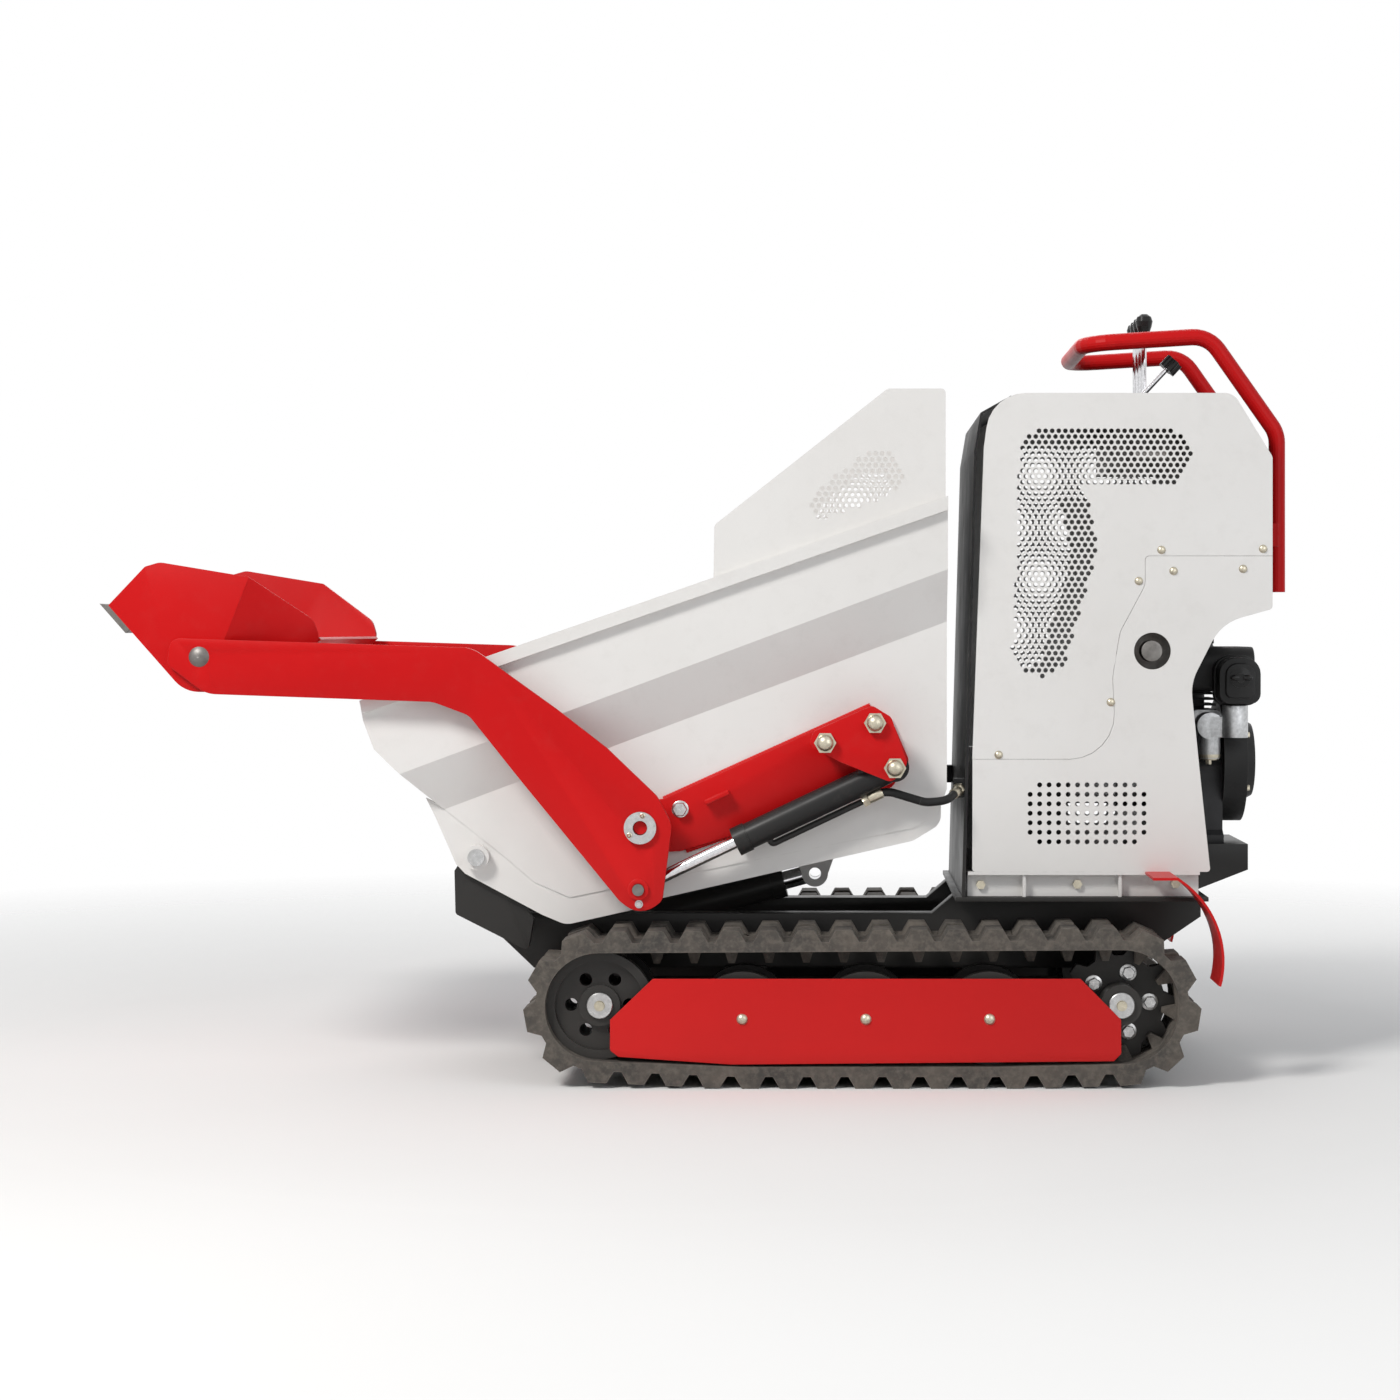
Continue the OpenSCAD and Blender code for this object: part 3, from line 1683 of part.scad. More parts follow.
module lever_2() {
    lever(1);
}

module lever_3() {
    lever(2);
}

module lever_4() {
    lever(3);
}

module knob_1() {
    knob(0);
}

module knob_2() {
    knob(1);
}

module knob_3() {
    knob(2);
}

module knob_4() {
    knob(3);
}

module throttle_lever() {
    color(chrome)
        at_throttle()
            lever_rod(throttle_len);
}

module throttle_knob() {
    lobes = 5;
    lobe_r = 7;
    color(black)
        at_throttle()
            translate([0, 0, throttle_len - knob_base])
                linear_extrude(24) {
                    circle(r = 13);
                    for (i = [0 : lobes - 1])
                        rotate(360 / lobes * i)
                            translate([12, 0])
                                circle(r = lobe_r);
                }
}

// Red tube handle around the controls
module handlebar() {
    foot_z = 922;
    bend_z = 1228;
    grip = [972, 1416];
    front = [733, 1401];
    pad = 36;
    color(red) {
        bent_tube([
            [handle_x, -handle_half, foot_z],
            [handle_x, -handle_half, bend_z],
            [grip[0], -handle_half, grip[1]],
            [front[0], -handle_half, front[1]],
            [front[0], handle_half, front[1]],
            [grip[0], handle_half, grip[1]],
            [handle_x, handle_half, bend_z],
            [handle_x, handle_half, foot_z]
        ], handle_d / 2, 58, 20);
        bar([handle_x, -handle_half, bend_z - 40], [handle_x, handle_half, bend_z - 40], handle_d / 2 - 2);
        both_sides()
            translate([cover_rear, handle_half - pad / 2, seam_rear_z + 20])
                cube([handle_x - cover_rear, pad, 44]);
    }
}

// Hoses from the loader cylinders to the console
hose_r = 8;

module loader_hoses() {
    u = unit([rod_pin_x - base_pin_x, rod_pin_z - base_pin_z]);
    drop = barrel_d / 2 + 8;
    start = loader_base + u * (port_x - face_gap) + drop * [-u[1], u[0]];
    color(black)
        both_sides()
            bent_tube([
                [start[0], cylinder_y, start[1]],
                [start[0] - u[0] * 36, cylinder_y, start[1] - u[1] * 36],
                [start[0] + 107, cylinder_y, start[1] - 7],
                [462, 332, 528],
                [487, cover_half - 6, 546]
            ], hose_r, 46, 10);
}

chassis_frame();
track_frames();
left_track();
right_track();
track_guards();
mudguards();
upper_panels();
lower_panels();
console_cover();
base_flanges();
fasteners();
engine_block();
engine_shroud();
air_cleaner();
carburettor();
muffler();
fuel_tank();
hydraulic_tank();
gear_pump();
valve_block();
travel_motors();
handlebar();
hinge_pins();
loader_hoses();
left_sprocket();
right_sprocket();
left_idler();
right_idler();
left_road_wheel_front();
left_road_wheel_mid();
left_road_wheel_rear();
right_road_wheel_front();
right_road_wheel_mid();
right_road_wheel_rear();
hopper();
splash_guard();
loader_mounts();
cylinder_brackets();
bracket_nuts();
arm_pivots();
lift_arms();
shovel();
cutting_edge();
arm_bolts();
left_barrel();
right_barrel();
left_rod();
right_rod();
tip_barrel();
tip_rod();
lever_1();
lever_2();
lever_3();
lever_4();
throttle_lever();
knob_1();
knob_2();
knob_3();
knob_4();
throttle_knob();
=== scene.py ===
"""Dresses the tracked power carrier: finishes, fine hardware, studio and camera. Lengths are in metres."""
import json
import math

import bmesh
import bpy
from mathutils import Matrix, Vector

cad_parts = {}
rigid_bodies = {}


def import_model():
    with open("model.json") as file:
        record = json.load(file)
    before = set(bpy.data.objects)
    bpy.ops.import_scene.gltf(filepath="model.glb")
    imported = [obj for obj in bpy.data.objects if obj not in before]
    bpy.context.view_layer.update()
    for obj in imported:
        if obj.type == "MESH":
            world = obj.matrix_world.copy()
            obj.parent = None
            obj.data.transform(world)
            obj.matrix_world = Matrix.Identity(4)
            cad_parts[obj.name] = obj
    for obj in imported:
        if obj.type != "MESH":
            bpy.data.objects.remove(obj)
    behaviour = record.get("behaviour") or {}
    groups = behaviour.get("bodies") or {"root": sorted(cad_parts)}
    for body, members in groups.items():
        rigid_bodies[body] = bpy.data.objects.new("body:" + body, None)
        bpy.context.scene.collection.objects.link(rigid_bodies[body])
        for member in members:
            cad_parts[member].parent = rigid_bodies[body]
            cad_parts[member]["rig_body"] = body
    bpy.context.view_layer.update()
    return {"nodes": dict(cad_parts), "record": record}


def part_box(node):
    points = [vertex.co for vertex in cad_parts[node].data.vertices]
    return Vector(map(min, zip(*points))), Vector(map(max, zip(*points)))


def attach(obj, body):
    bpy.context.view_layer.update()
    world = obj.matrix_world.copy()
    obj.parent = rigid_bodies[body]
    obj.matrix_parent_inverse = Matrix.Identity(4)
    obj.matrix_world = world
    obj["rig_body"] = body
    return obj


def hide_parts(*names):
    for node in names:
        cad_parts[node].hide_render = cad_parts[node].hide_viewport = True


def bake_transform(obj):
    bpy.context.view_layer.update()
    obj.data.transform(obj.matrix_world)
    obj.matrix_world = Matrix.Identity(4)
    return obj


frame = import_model()
NODES = frame["nodes"]
SLOT_OF = {row["node"]: row["material_slot"] for row in frame["record"]["subparts"]}

# The shovel points to low X, and the machine's left side is at low Y
SIDES = (("left", -1), ("right", 1))
REAR = Vector((1, 0, 0))
LEFT = Vector((0, -1, 0))
UP = Vector((0, 0, 1))
DOWN = Vector((0, 0, -1))
MM = 0.001


def mm(x, y, z):
    return Vector((x, y, z)) * MM


# Shader helpers
def new_material(name):
    mat = bpy.data.materials.new(name)
    mat.use_nodes = True
    tree = mat.node_tree
    tree.nodes.clear()
    out = tree.nodes.new("ShaderNodeOutputMaterial")
    bsdf = tree.nodes.new("ShaderNodeBsdfPrincipled")
    tree.links.new(bsdf.outputs["BSDF"], out.inputs["Surface"])
    return mat, tree, bsdf


def object_coords(tree):
    return tree.nodes.new("ShaderNodeTexCoord").outputs["Object"]


def noise(tree, coords, scale, detail=4.0, rough=0.55):
    n = tree.nodes.new("ShaderNodeTexNoise")
    n.inputs["Scale"].default_value = scale
    n.inputs["Detail"].default_value = detail
    n.inputs["Roughness"].default_value = rough
    tree.links.new(coords, n.inputs["Vector"])
    return n.outputs["Fac"]


def ramp(tree, fac, low, high, a=0.0, b=1.0):
    """Straight ramp of a factor: low gives a, high gives b."""
    n = tree.nodes.new("ShaderNodeMapRange")
    n.inputs["From Min"].default_value = low
    n.inputs["From Max"].default_value = high
    n.inputs["To Min"].default_value = a
    n.inputs["To Max"].default_value = b
    tree.links.new(fac, n.inputs["Value"])
    return n.outputs["Result"]


def maths(tree, op, a, b):
    """Either operand may be a number or a socket."""
    n = tree.nodes.new("ShaderNodeMath")
    n.operation = op
    for i, v in enumerate((a, b)):
        if isinstance(v, float):
            n.inputs[i].default_value = v
        else:
            tree.links.new(v, n.inputs[i])
    return n.outputs["Value"]


def blend_colour(tree, fac, a, b):
    """Colour a where the factor is 0 and b where it is 1. Either may be a colour or a socket."""
    n = tree.nodes.new("ShaderNodeMix")
    n.data_type = "RGBA"
    tree.links.new(fac, n.inputs["Factor"])
    for key, v in (("A", a), ("B", b)):
        target = [s for s in n.inputs if s.name == key and s.type == "RGBA"][0]
        if isinstance(v, tuple):
            target.default_value = (*v, 1.0)
        else:
            tree.links.new(v, target)
    return [s for s in n.outputs if s.type == "RGBA"][0]


EDGE_SAMPLES = 4
EDGE_LEAN = 0.3


def edge_mask(tree, radius):
    """1 along sharp edges, from how far a rounded normal leans away from the true one."""
    bevel = tree.nodes.new("ShaderNodeBevel")
    bevel.samples = EDGE_SAMPLES
    bevel.inputs["Radius"].default_value = radius
    geo = tree.nodes.new("ShaderNodeNewGeometry")
    dot = tree.nodes.new("ShaderNodeVectorMath")
    dot.operation = "DOT_PRODUCT"
    tree.links.new(bevel.outputs["Normal"], dot.inputs[0])
    tree.links.new(geo.outputs["Normal"], dot.inputs[1])
    return ramp(tree, dot.outputs["Value"], 1.0, 1.0 - EDGE_LEAN)


def height_mask(tree, coords, low, high):
    """1 below the low height and 0 above the high one."""
    sep = tree.nodes.new("ShaderNodeSeparateXYZ")
    tree.links.new(coords, sep.inputs["Vector"])
    return ramp(tree, sep.outputs["Z"], low, high, 1.0, 0.0)


def bump(tree, bsdf, height, strength, distance):
    n = tree.nodes.new("ShaderNodeBump")
    n.inputs["Strength"].default_value = strength
    n.inputs["Distance"].default_value = distance
    tree.links.new(height, n.inputs["Height"])
    tree.links.new(n.outputs["Normal"], bsdf.inputs["Normal"])


# Finishes: noise scales are in features a metre, masks in metres
DRIFT_RANGE = (0.3, 0.75)
PAINT_DRIFT = 2.2
STREAKS = 26.0
STREAK_RANGE = (0.52, 0.74)
STREAK_MOST = 0.5
DUST = (0.30, 0.27, 0.23)
DUST_HEIGHTS = (0.05, 0.62)
DUST_LOW_SHARE = 0.9
CHIP_SPOTS = 70.0
CHIP_RANGE = (0.42, 0.62)
CHIP_EDGE = 0.0025
PAINT_SHINE = 9.0
SHINE_RANGE = (0.25, 0.8)
COAT_ROUGH = 0.22
ORANGE_PEEL = 420.0


def paint(name, colour, old, worn, rough, dust, chips, coat, gloss=0.2):
    """Powder coat: slow colour drift, dust near the ground, chipped edges and orange peel."""
    mat, tree, bsdf = new_material(name)
    coords = object_coords(tree)
    drift = ramp(tree, noise(tree, coords, PAINT_DRIFT), *DRIFT_RANGE)
    base = blend_colour(tree, drift, colour, old)
    streak = ramp(tree, noise(tree, coords, STREAKS, 6.0, 0.7), *STREAK_RANGE, 0.0, STREAK_MOST)
    grime = maths(tree, "MULTIPLY", streak, dust)
    low = maths(tree, "MULTIPLY", height_mask(tree, coords, *DUST_HEIGHTS), dust * DUST_LOW_SHARE)
    base = blend_colour(tree, maths(tree, "MAXIMUM", grime, low), base, DUST)
    spots = ramp(tree, noise(tree, coords, CHIP_SPOTS, 3.0), *CHIP_RANGE)
    edge = maths(tree, "MULTIPLY", edge_mask(tree, CHIP_EDGE), spots)
    edge = maths(tree, "MULTIPLY", edge, chips)
    base = blend_colour(tree, edge, base, worn)
    tree.links.new(base, bsdf.inputs["Base Color"])
    shine = ramp(tree, noise(tree, coords, PAINT_SHINE), *SHINE_RANGE, rough - 0.07, rough + 0.12)
    tree.links.new(shine, bsdf.inputs["Roughness"])
    bsdf.inputs["Specular IOR Level"].default_value = gloss
    bsdf.inputs["Coat Weight"].default_value = coat
    bsdf.inputs["Coat Roughness"].default_value = COAT_ROUGH
    bump(tree, bsdf, noise(tree, coords, ORANGE_PEEL, 2.0), strength=0.06, distance=0.0012)
    return mat


STAIN = (0.2, 0.17, 0.13)
STAIN_PATCHES = 14.0
STAIN_RANGE = (0.5, 0.8)
GRAIN_RANGE = (0.3, 0.7)
GRAIN_SHADE = 0.72


def metal(name, colour, rough, grain, stain=STAIN, stained=0.25, bump_by=0.08):
    """Bare or plated metal with turned grain and a little staining."""
    mat, tree, bsdf = new_material(name)
    coords = object_coords(tree)
    fine = noise(tree, coords, grain, 5.0, 0.6)
    patch = ramp(tree, noise(tree, coords, STAIN_PATCHES), *STAIN_RANGE, 0.0, stained)
    shade = tuple(c * GRAIN_SHADE for c in colour)
    base = blend_colour(tree, ramp(tree, fine, *GRAIN_RANGE), colour, shade)
    base = blend_colour(tree, patch, base, stain)
    tree.links.new(base, bsdf.inputs["Base Color"])
    bsdf.inputs["Metallic"].default_value = 1.0
    shine = ramp(tree, fine, *SHINE_RANGE, rough * 0.75, rough * 1.35)
    tree.links.new(shine, bsdf.inputs["Roughness"])
    bump(tree, bsdf, fine, bump_by, distance=0.0006)
    return mat


PLASTIC_DRIFT = 7.0
PLASTIC_LIFT = 1.7
PLASTIC_LIFT_LEAST = 0.004
PLASTIC_SCUFF = (0.16, 0.155, 0.15)
PLASTIC_SCUFFED = 0.35
PLASTIC_EDGE = 0.002
PLASTIC_GLOSS = 0.25
PLASTIC_SHINE = 30.0


def plastic(name, colour, rough, grain, bump_by):
    """Moulded plastic or rubber with a fine grain and scuffed edges."""
    mat, tree, bsdf = new_material(name)
    coords = object_coords(tree)
    drift = ramp(tree, noise(tree, coords, PLASTIC_DRIFT), *DRIFT_RANGE)
    faded = tuple(c * PLASTIC_LIFT + PLASTIC_LIFT_LEAST for c in colour)
    base = blend_colour(tree, drift, colour, faded)
    scuff = maths(tree, "MULTIPLY", edge_mask(tree, PLASTIC_EDGE), PLASTIC_SCUFFED)
    base = blend_colour(tree, scuff, base, PLASTIC_SCUFF)
    tree.links.new(base, bsdf.inputs["Base Color"])
    bsdf.inputs["Specular IOR Level"].default_value = PLASTIC_GLOSS
    shine = ramp(tree, noise(tree, coords, PLASTIC_SHINE), *DRIFT_RANGE, rough - 0.08, rough + 0.1)
    tree.links.new(shine, bsdf.inputs["Roughness"])
    bump(tree, bsdf, noise(tree, coords, grain, 3.0), bump_by, distance=0.0008)
    return mat


TREAD = (0.040, 0.036, 0.032)
SOIL = (0.120, 0.104, 0.088)
SOIL_SPECK = (0.20, 0.175, 0.145)
SOIL_SPECKED = 0.45
TREAD_SCUFF = (0.17, 0.152, 0.13)
TREAD_SCUFFED = 0.4
TREAD_EDGE = 0.004


def track_rubber(name):
    """Dusty tread rubber: patches and specks of dry soil, and paler scuffed lug edges."""
    mat, tree, bsdf = new_material(name)
    coords = object_coords(tree)
    soil = ramp(tree, noise(tree, coords, 9.0, 8.0, 0.68), 0.38, 0.7)
    speck = ramp(tree, noise(tree, coords, 75.0, 6.0, 0.7), 0.45, 0.7)
    base = blend_colour(tree, soil, TREAD, SOIL)
    base = blend_colour(tree, maths(tree, "MULTIPLY", speck, SOIL_SPECKED), base, SOIL_SPECK)
    scuff = maths(tree, "MULTIPLY", edge_mask(tree, TREAD_EDGE), TREAD_SCUFFED)
    base = blend_colour(tree, scuff, base, TREAD_SCUFF)
    tree.links.new(base, bsdf.inputs["Base Color"])
    tree.links.new(ramp(tree, soil, 0.0, 1.0, 0.72, 0.95), bsdf.inputs["Roughness"])
    bump(tree, bsdf, noise(tree, coords, 160.0, 5.0, 0.7), strength=0.35, distance=0.0015)
    return mat


WHITE = (0.80, 0.79, 0.775)
OLD_WHITE = (0.74, 0.725, 0.705)
WORN_WHITE = (0.42, 0.40, 0.37)
RED = (0.60, 0.007, 0.008)
OLD_RED = (0.52, 0.006, 0.007)
WORN_RED = (0.30, 0.20, 0.18)
BLACK = (0.012, 0.012, 0.013)
OLD_BLACK = (0.02, 0.02, 0.02)
WORN_BLACK = (0.10, 0.095, 0.09)
ZINC = (0.62, 0.57, 0.45)
STEEL = (0.60, 0.60, 0.60)
DARK_STEEL = (0.22, 0.21, 0.20)
RUST = (0.12, 0.07, 0.045)
CHROME = (0.82, 0.82, 0.84)
CHROME_HAZE = (0.5, 0.5, 0.5)
ALUMINIUM = (0.60, 0.61, 0.62)
ALUMINIUM_STAIN = (0.3, 0.29, 0.27)
HOSE_BLACK = (0.012, 0.012, 0.012)
ENGINE_BLACK = (0.016, 0.016, 0.017)
COVER_BLACK = (0.014, 0.014, 0.014)
KNOB_BLACK = (0.01, 0.01, 0.01)
MATERIALS = {
    "white_paint": paint("white_paint", WHITE, OLD_WHITE, WORN_WHITE,
                         rough=0.42, dust=0.12, chips=0.35, coat=0.05),
    "red_paint": paint("red_paint", RED, OLD_RED, WORN_RED,
                       rough=0.36, dust=0.04, chips=0.4, coat=0.04, gloss=0.12),
    "black_paint": paint("black_paint", BLACK, OLD_BLACK, WORN_BLACK,
                         rough=0.42, dust=0.10, chips=0.6, coat=0.05),
    "track_rubber": track_rubber("track_rubber"),
    "hose_rubber": plastic("hose_rubber", HOSE_BLACK, rough=0.55, grain=500.0, bump_by=0.2),
    "zinc_plate": metal("zinc_plate", ZINC, rough=0.32, grain=90.0),
    "bright_steel": metal("bright_steel", STEEL, rough=0.3, grain=120.0),
    "dark_steel": metal("dark_steel", DARK_STEEL, rough=0.5, grain=60.0, stain=RUST, stained=0.5),
    "chrome_rod": metal("chrome_rod", CHROME, rough=0.09, grain=200.0,
                        stain=CHROME_HAZE, stained=0.08, bump_by=0.02),
    "engine_black": plastic("engine_black", ENGINE_BLACK, rough=0.5, grain=180.0, bump_by=0.3),
    "engine_plastic": plastic("engine_plastic", COVER_BLACK, rough=0.48, grain=380.0, bump_by=0.25),
    "bare_aluminium": metal("bare_aluminium", ALUMINIUM, rough=0.42, grain=150.0,
                            stain=ALUMINIUM_STAIN, stained=0.35, bump_by=0.25),
    "knob_plastic": plastic("knob_plastic", KNOB_BLACK, rough=0.25, grain=250.0, bump_by=0.03),
}

for node_name, slot_name in SLOT_OF.items():
    NODES[node_name].data.materials.clear()
    NODES[node_name].data.materials.append(MATERIALS[slot_name])


# Mesh helpers
def finish_piece(name, bm, body, slot, smooth_deg=35.0, replaces=()):
    """Turns a bmesh into a piece that takes a slot's finish and, where a body is given, rides on it."""
    bmesh.ops.recalc_face_normals(bm, faces=bm.faces)
    mesh = bpy.data.meshes.new(name)
    bm.to_mesh(mesh)
    bm.free()
    mesh.materials.append(MATERIALS[slot])
    for face in mesh.polygons:
        face.use_smooth = True
    mesh.set_sharp_from_angle(angle=math.radians(smooth_deg))
    obj = bpy.data.objects.new(name, mesh)
    bpy.context.scene.collection.objects.link(obj)
    if body:
        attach(obj, body)
    if replaces:
        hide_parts(*replaces)
    return obj


def side_axes(direction):
    """Two directions square to the given one."""
    d = direction.normalized()
    helper = UP if abs(d.z) < 0.9 else REAR
    a = d.cross(helper).normalized()
    return a, d.cross(a).normalized()


def add_rings(bm, rings):
    """Skins a list of rings of points, with flat ends."""
    made = [[bm.verts.new(p) for p in ring] for ring in rings]
    for low, high in zip(made, made[1:]):
        n = len(low)
        for i in range(n):
            bm.faces.new((low[i], low[(i + 1) % n], high[(i + 1) % n], high[i]))
    bm.faces.new(list(reversed(made[0])))
    bm.faces.new(made[-1])


def add_turned(bm, origin, direction, profile, sides):
    """Solid of revolution: profile holds (radius, distance along the direction) pairs."""
    d = direction.normalized()
    a, b = side_axes(d)
    turns = [2 * math.pi * i / sides for i in range(sides)]
    rings = []
    for r, h in profile:
        centre = origin + d * h
        rings.append([centre + (a * math.cos(t) + b * math.sin(t)) * r for t in turns])
    add_rings(bm, rings)


def add_ring(bm, origin, direction, profile, sides):
    """Closed ring of revolution: the profile's last point joins its first."""
    d = direction.normalized()
    a, b = side_axes(d)
    rows = []
    for i in range(sides):
        t = 2 * math.pi * i / sides
        out = a * math.cos(t) + b * math.sin(t)
        rows.append([bm.verts.new(origin + d * h + out * r) for r, h in profile])
    n = len(profile)
    for i in range(sides):
        here, there = rows[i], rows[(i + 1) % sides]
        for k in range(n):
            bm.faces.new((here[k], here[(k + 1) % n], there[(k + 1) % n], there[k]))


HEX_CHAMFER_AT = 0.86
HEX_CHAMFER_TO = 0.9


def add_hex(bm, origin, direction, across, height, turned=0.0):
    """Hexagon with chamfered corners on its outer face."""
    d = direction.normalized()
    a, b = side_axes(d)
    r = across / math.sqrt(3)

    def ring(radius, h):
        out = []
        for i in range(6):
            t = turned + math.pi / 3 * i
            out.append(origin + d * h + (a * math.cos(t) + b * math.sin(t)) * radius)
        return out

    add_rings(bm, [ring(r, 0), ring(r, height * HEX_CHAMFER_AT), ring(r * HEX_CHAMFER_TO, height)])


def add_bolt(bm, place, out, washer, sides, across, height, turned=0.0):
    """Turned washer with a hexagon on its outer end."""
    add_turned(bm, place, out, washer, sides)
    add_hex(bm, place + out * washer[-1][1], out, across, height, turned)


RUN_SHARE = 0.49


def smooth_route(points, bend, steps):
    """Points joined by straight runs, with a curve of about the bend radius at each corner."""
    route = [points[0]]
    for p, q, r in zip(points, points[1:], points[2:]):
        u = (p - q).normalized()
        w = (r - q).normalized()
        angle = u.angle(w)
        cut = min(bend / math.tan(angle / 2), (p - q).length * RUN_SHARE, (r - q).length * RUN_SHARE)
        start, end = q + u * cut, q + w * cut
        for i in range(steps + 1):
            t = i / steps
            route.append(start * (1 - t) ** 2 + q * 2 * t * (1 - t) + end * t ** 2)
    route.append(points[-1])
    return route


def route_length(route):
    return sum((b - a).length for a, b in zip(route, route[1:]))


def split_line(a, b, step):
    n = max(2, math.ceil((b - a).length / step))
    return [a.lerp(b, i / n) for i in range(n + 1)]


def add_tube(bm, route, radius, sides):
    """Round tube along a route. The radius may be a function of the distance along it."""
    tangents = []
    for i in range(len(route)):
        before = route[max(i - 1, 0)]
        after = route[min(i + 1, len(route) - 1)]
        tangents.append((after - before).normalized())
    normal = side_axes(tangents[0])[0]
    rings = []
    walked = 0.0
    for i, (p, t) in enumerate(zip(route, tangents)):
        if i:
            walked += (p - route[i - 1]).length
        normal = (normal - t * normal.dot(t)).normalized()
        binormal = t.cross(normal)
        r = radius(walked) if callable(radius) else radius
        ring = []
        for k in range(sides):
            a = 2 * math.pi * k / sides
            ring.append(p + (normal * math.cos(a) + binormal * math.sin(a)) * r)
        rings.append(ring)
    add_rings(bm, rings)


WELD_PITCH = 0.006
WELD_RIPPLE = 0.14
WELD_SIDES = 7


def add_weld(bm, a, b, radius):
    """Rippled bead between two points."""
    def bead(walked):
        ripple = abs(math.sin(math.pi * walked / WELD_PITCH))
        return radius * (1 - WELD_RIPPLE + WELD_RIPPLE * ripple)

    add_tube(bm, split_line(a, b, WELD_PITCH / 3), bead, WELD_SIDES)


# Loader hoses: the routes repeat the points of their solids
BASE_PIN = mm(363, 0, 592)
ROD_PIN = mm(-114.5, 0, 366)
CYLINDER_Y = 0.343
PIPE_DROP = 0.033
PORT_REACH = 0.0696
HOSE_RADIUS = 0.008
HOSE_BEND = 0.046
HOSE_BEND_STEPS = 10
HOSE_STEP = 0.006
HOSE_SIDES = 16
HOSE_LEAD = 0.036
HOSE_SAG = mm(107, 0, -7)
HOSE_TURN = mm(462, 332, 528)
HOSE_END = mm(487, 275, 546)
HOSE_MEET = 0.099
STEEL_SLEEVE = [(0.0092, 0.0), (0.0105, 0.002), (0.0105, 0.026), (0.0092, 0.029)]
SLEEVE_SIDES = 20
SLEEVE_NUT = {"across": 0.022, "height": 0.012}
SLEEVE_NUT_BACK = 0.012
COUPLING_NUT_BACK = 0.004


def hose_points(side):
    along = (ROD_PIN - BASE_PIN).normalized()
    start = BASE_PIN + along * PORT_REACH + Vector((-along.z, 0, along.x)) * PIPE_DROP
    start.y = CYLINDER_Y
    points = [start, start - along * HOSE_LEAD, start + HOSE_SAG, HOSE_TURN, HOSE_END]
    return [Vector((p.x, side * p.y, p.z)) for p in points]


def make_hose_end(name, place, way, nut_back, body):
    bm = bmesh.new()
    add_turned(bm, place, way, STEEL_SLEEVE, SLEEVE_SIDES)
    add_hex(bm, place - way * nut_back, way, **SLEEVE_NUT)
    finish_piece(name, bm, body, "zinc_plate")


def make_hose(name, side):
    """Two lengths that meet on the hopper. Neither length rides on a body; only the sleeve rides on the
    barrel and the coupling on the chassis.
    """
    points = hose_points(side)
    route = smooth_route(points, HOSE_BEND, HOSE_BEND_STEPS)
    fine = [route[0]]
    for a, b in zip(route, route[1:]):
        fine.extend(split_line(a, b, HOSE_STEP)[1:])
    meet = 0
    while route_length(fine[:meet + 1]) < HOSE_MEET:
        meet += 1
    lengths = (
        ("_hose", fine[:meet + 1], name + "_barrel", "hopper", points[1]),
        ("_hose_tail", fine[meet:], "hopper", "chassis", fine[meet]),
    )
    for label, path, near_body, far_body, start in lengths:
        bm = bmesh.new()
        add_tube(bm, path, HOSE_RADIUS, HOSE_SIDES)
        hose = finish_piece(name + label, bm, None, "hose_rubber", smooth_deg=60.0)
        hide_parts("loader_hoses")
        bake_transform(hose)
    near_way = (points[1] - points[0]).normalized()
    make_hose_end(name + "_hose_sleeve", points[0], near_way, SLEEVE_NUT_BACK, name + "_barrel")
    far_way = (points[3] - points[4]).normalized()
    make_hose_end(name + "_hose_coupling", points[4], far_way, COUPLING_NUT_BACK, "chassis")


# Grease nipples on the collars of the arm pivots
PIVOT = mm(-111, 0, 481)
COLLAR_FACE = 0.3954
NIPPLE = [(0.0052, 0.0), (0.0052, 0.005), (0.0030, 0.006), (0.0030, 0.009), (0.0042, 0.011), (0.0022, 0.014)]
NIPPLE_AT = 0.0235
NIPPLE_DEGS = (78, 214)


def make_nipples(name, side):
    bm = bmesh.new()
    for deg in NIPPLE_DEGS:
        t = math.radians(deg)
        place = PIVOT + Vector((math.cos(t), 0, math.sin(t))) * NIPPLE_AT
        place.y = side * COLLAR_FACE
        add_turned(bm, place, Vector((0, side, 0)), NIPPLE, 12)
    finish_piece(name + "_grease_nipples", bm, "hopper", "zinc_plate")


# Painted plugs inside the hollow arm pivots
PLUG_DEPTH = 0.011
PLUG = [(0.0130, -0.004), (0.0130, 0.0), (0.0122, 0.0012), (0.0040, 0.0012)]


def make_pivot_plug(name, side):
    bm = bmesh.new()
    place = PIVOT + Vector((0, side * (COLLAR_FACE - PLUG_DEPTH), 0))
    add_turned(bm, place, Vector((0, side, 0)), PLUG, 32)
    finish_piece(name + "_pivot_plug", bm, "hopper", "red_paint", smooth_deg=50.0)


# Lock bolts of the rod pins, below their bosses on the lift arms
LOCK_BOLT = mm(-113.5, 0, 339)
LOCK_WASHER = [(0.0075, 0.0), (0.0075, 0.0012)]
LOCK_BOLT_TURN = 0.3
ARM_FACE = 0.387


def make_lock_bolt(name, side):
    bm = bmesh.new()
    place = LOCK_BOLT + Vector((0, side * ARM_FACE, 0))
    add_bolt(bm, place, Vector((0, side, 0)), LOCK_WASHER, 20,
             across=0.010, height=0.0055, turned=LOCK_BOLT_TURN)
    finish_piece(name + "_lock_bolt", bm, "loader_arms", "bright_steel")


# Grey hub rings round the axle bolts of idlers and sprockets
IDLER_X = -0.186
SPROCKET_X = 0.784
HUB_Z = 0.151
HUB_FACE = 0.3917
HUB_RING = [(0.0100, 0.0), (0.0242, 0.0), (0.0242, 0.0050), (0.0228, 0.0062), (0.0100, 0.0062)]


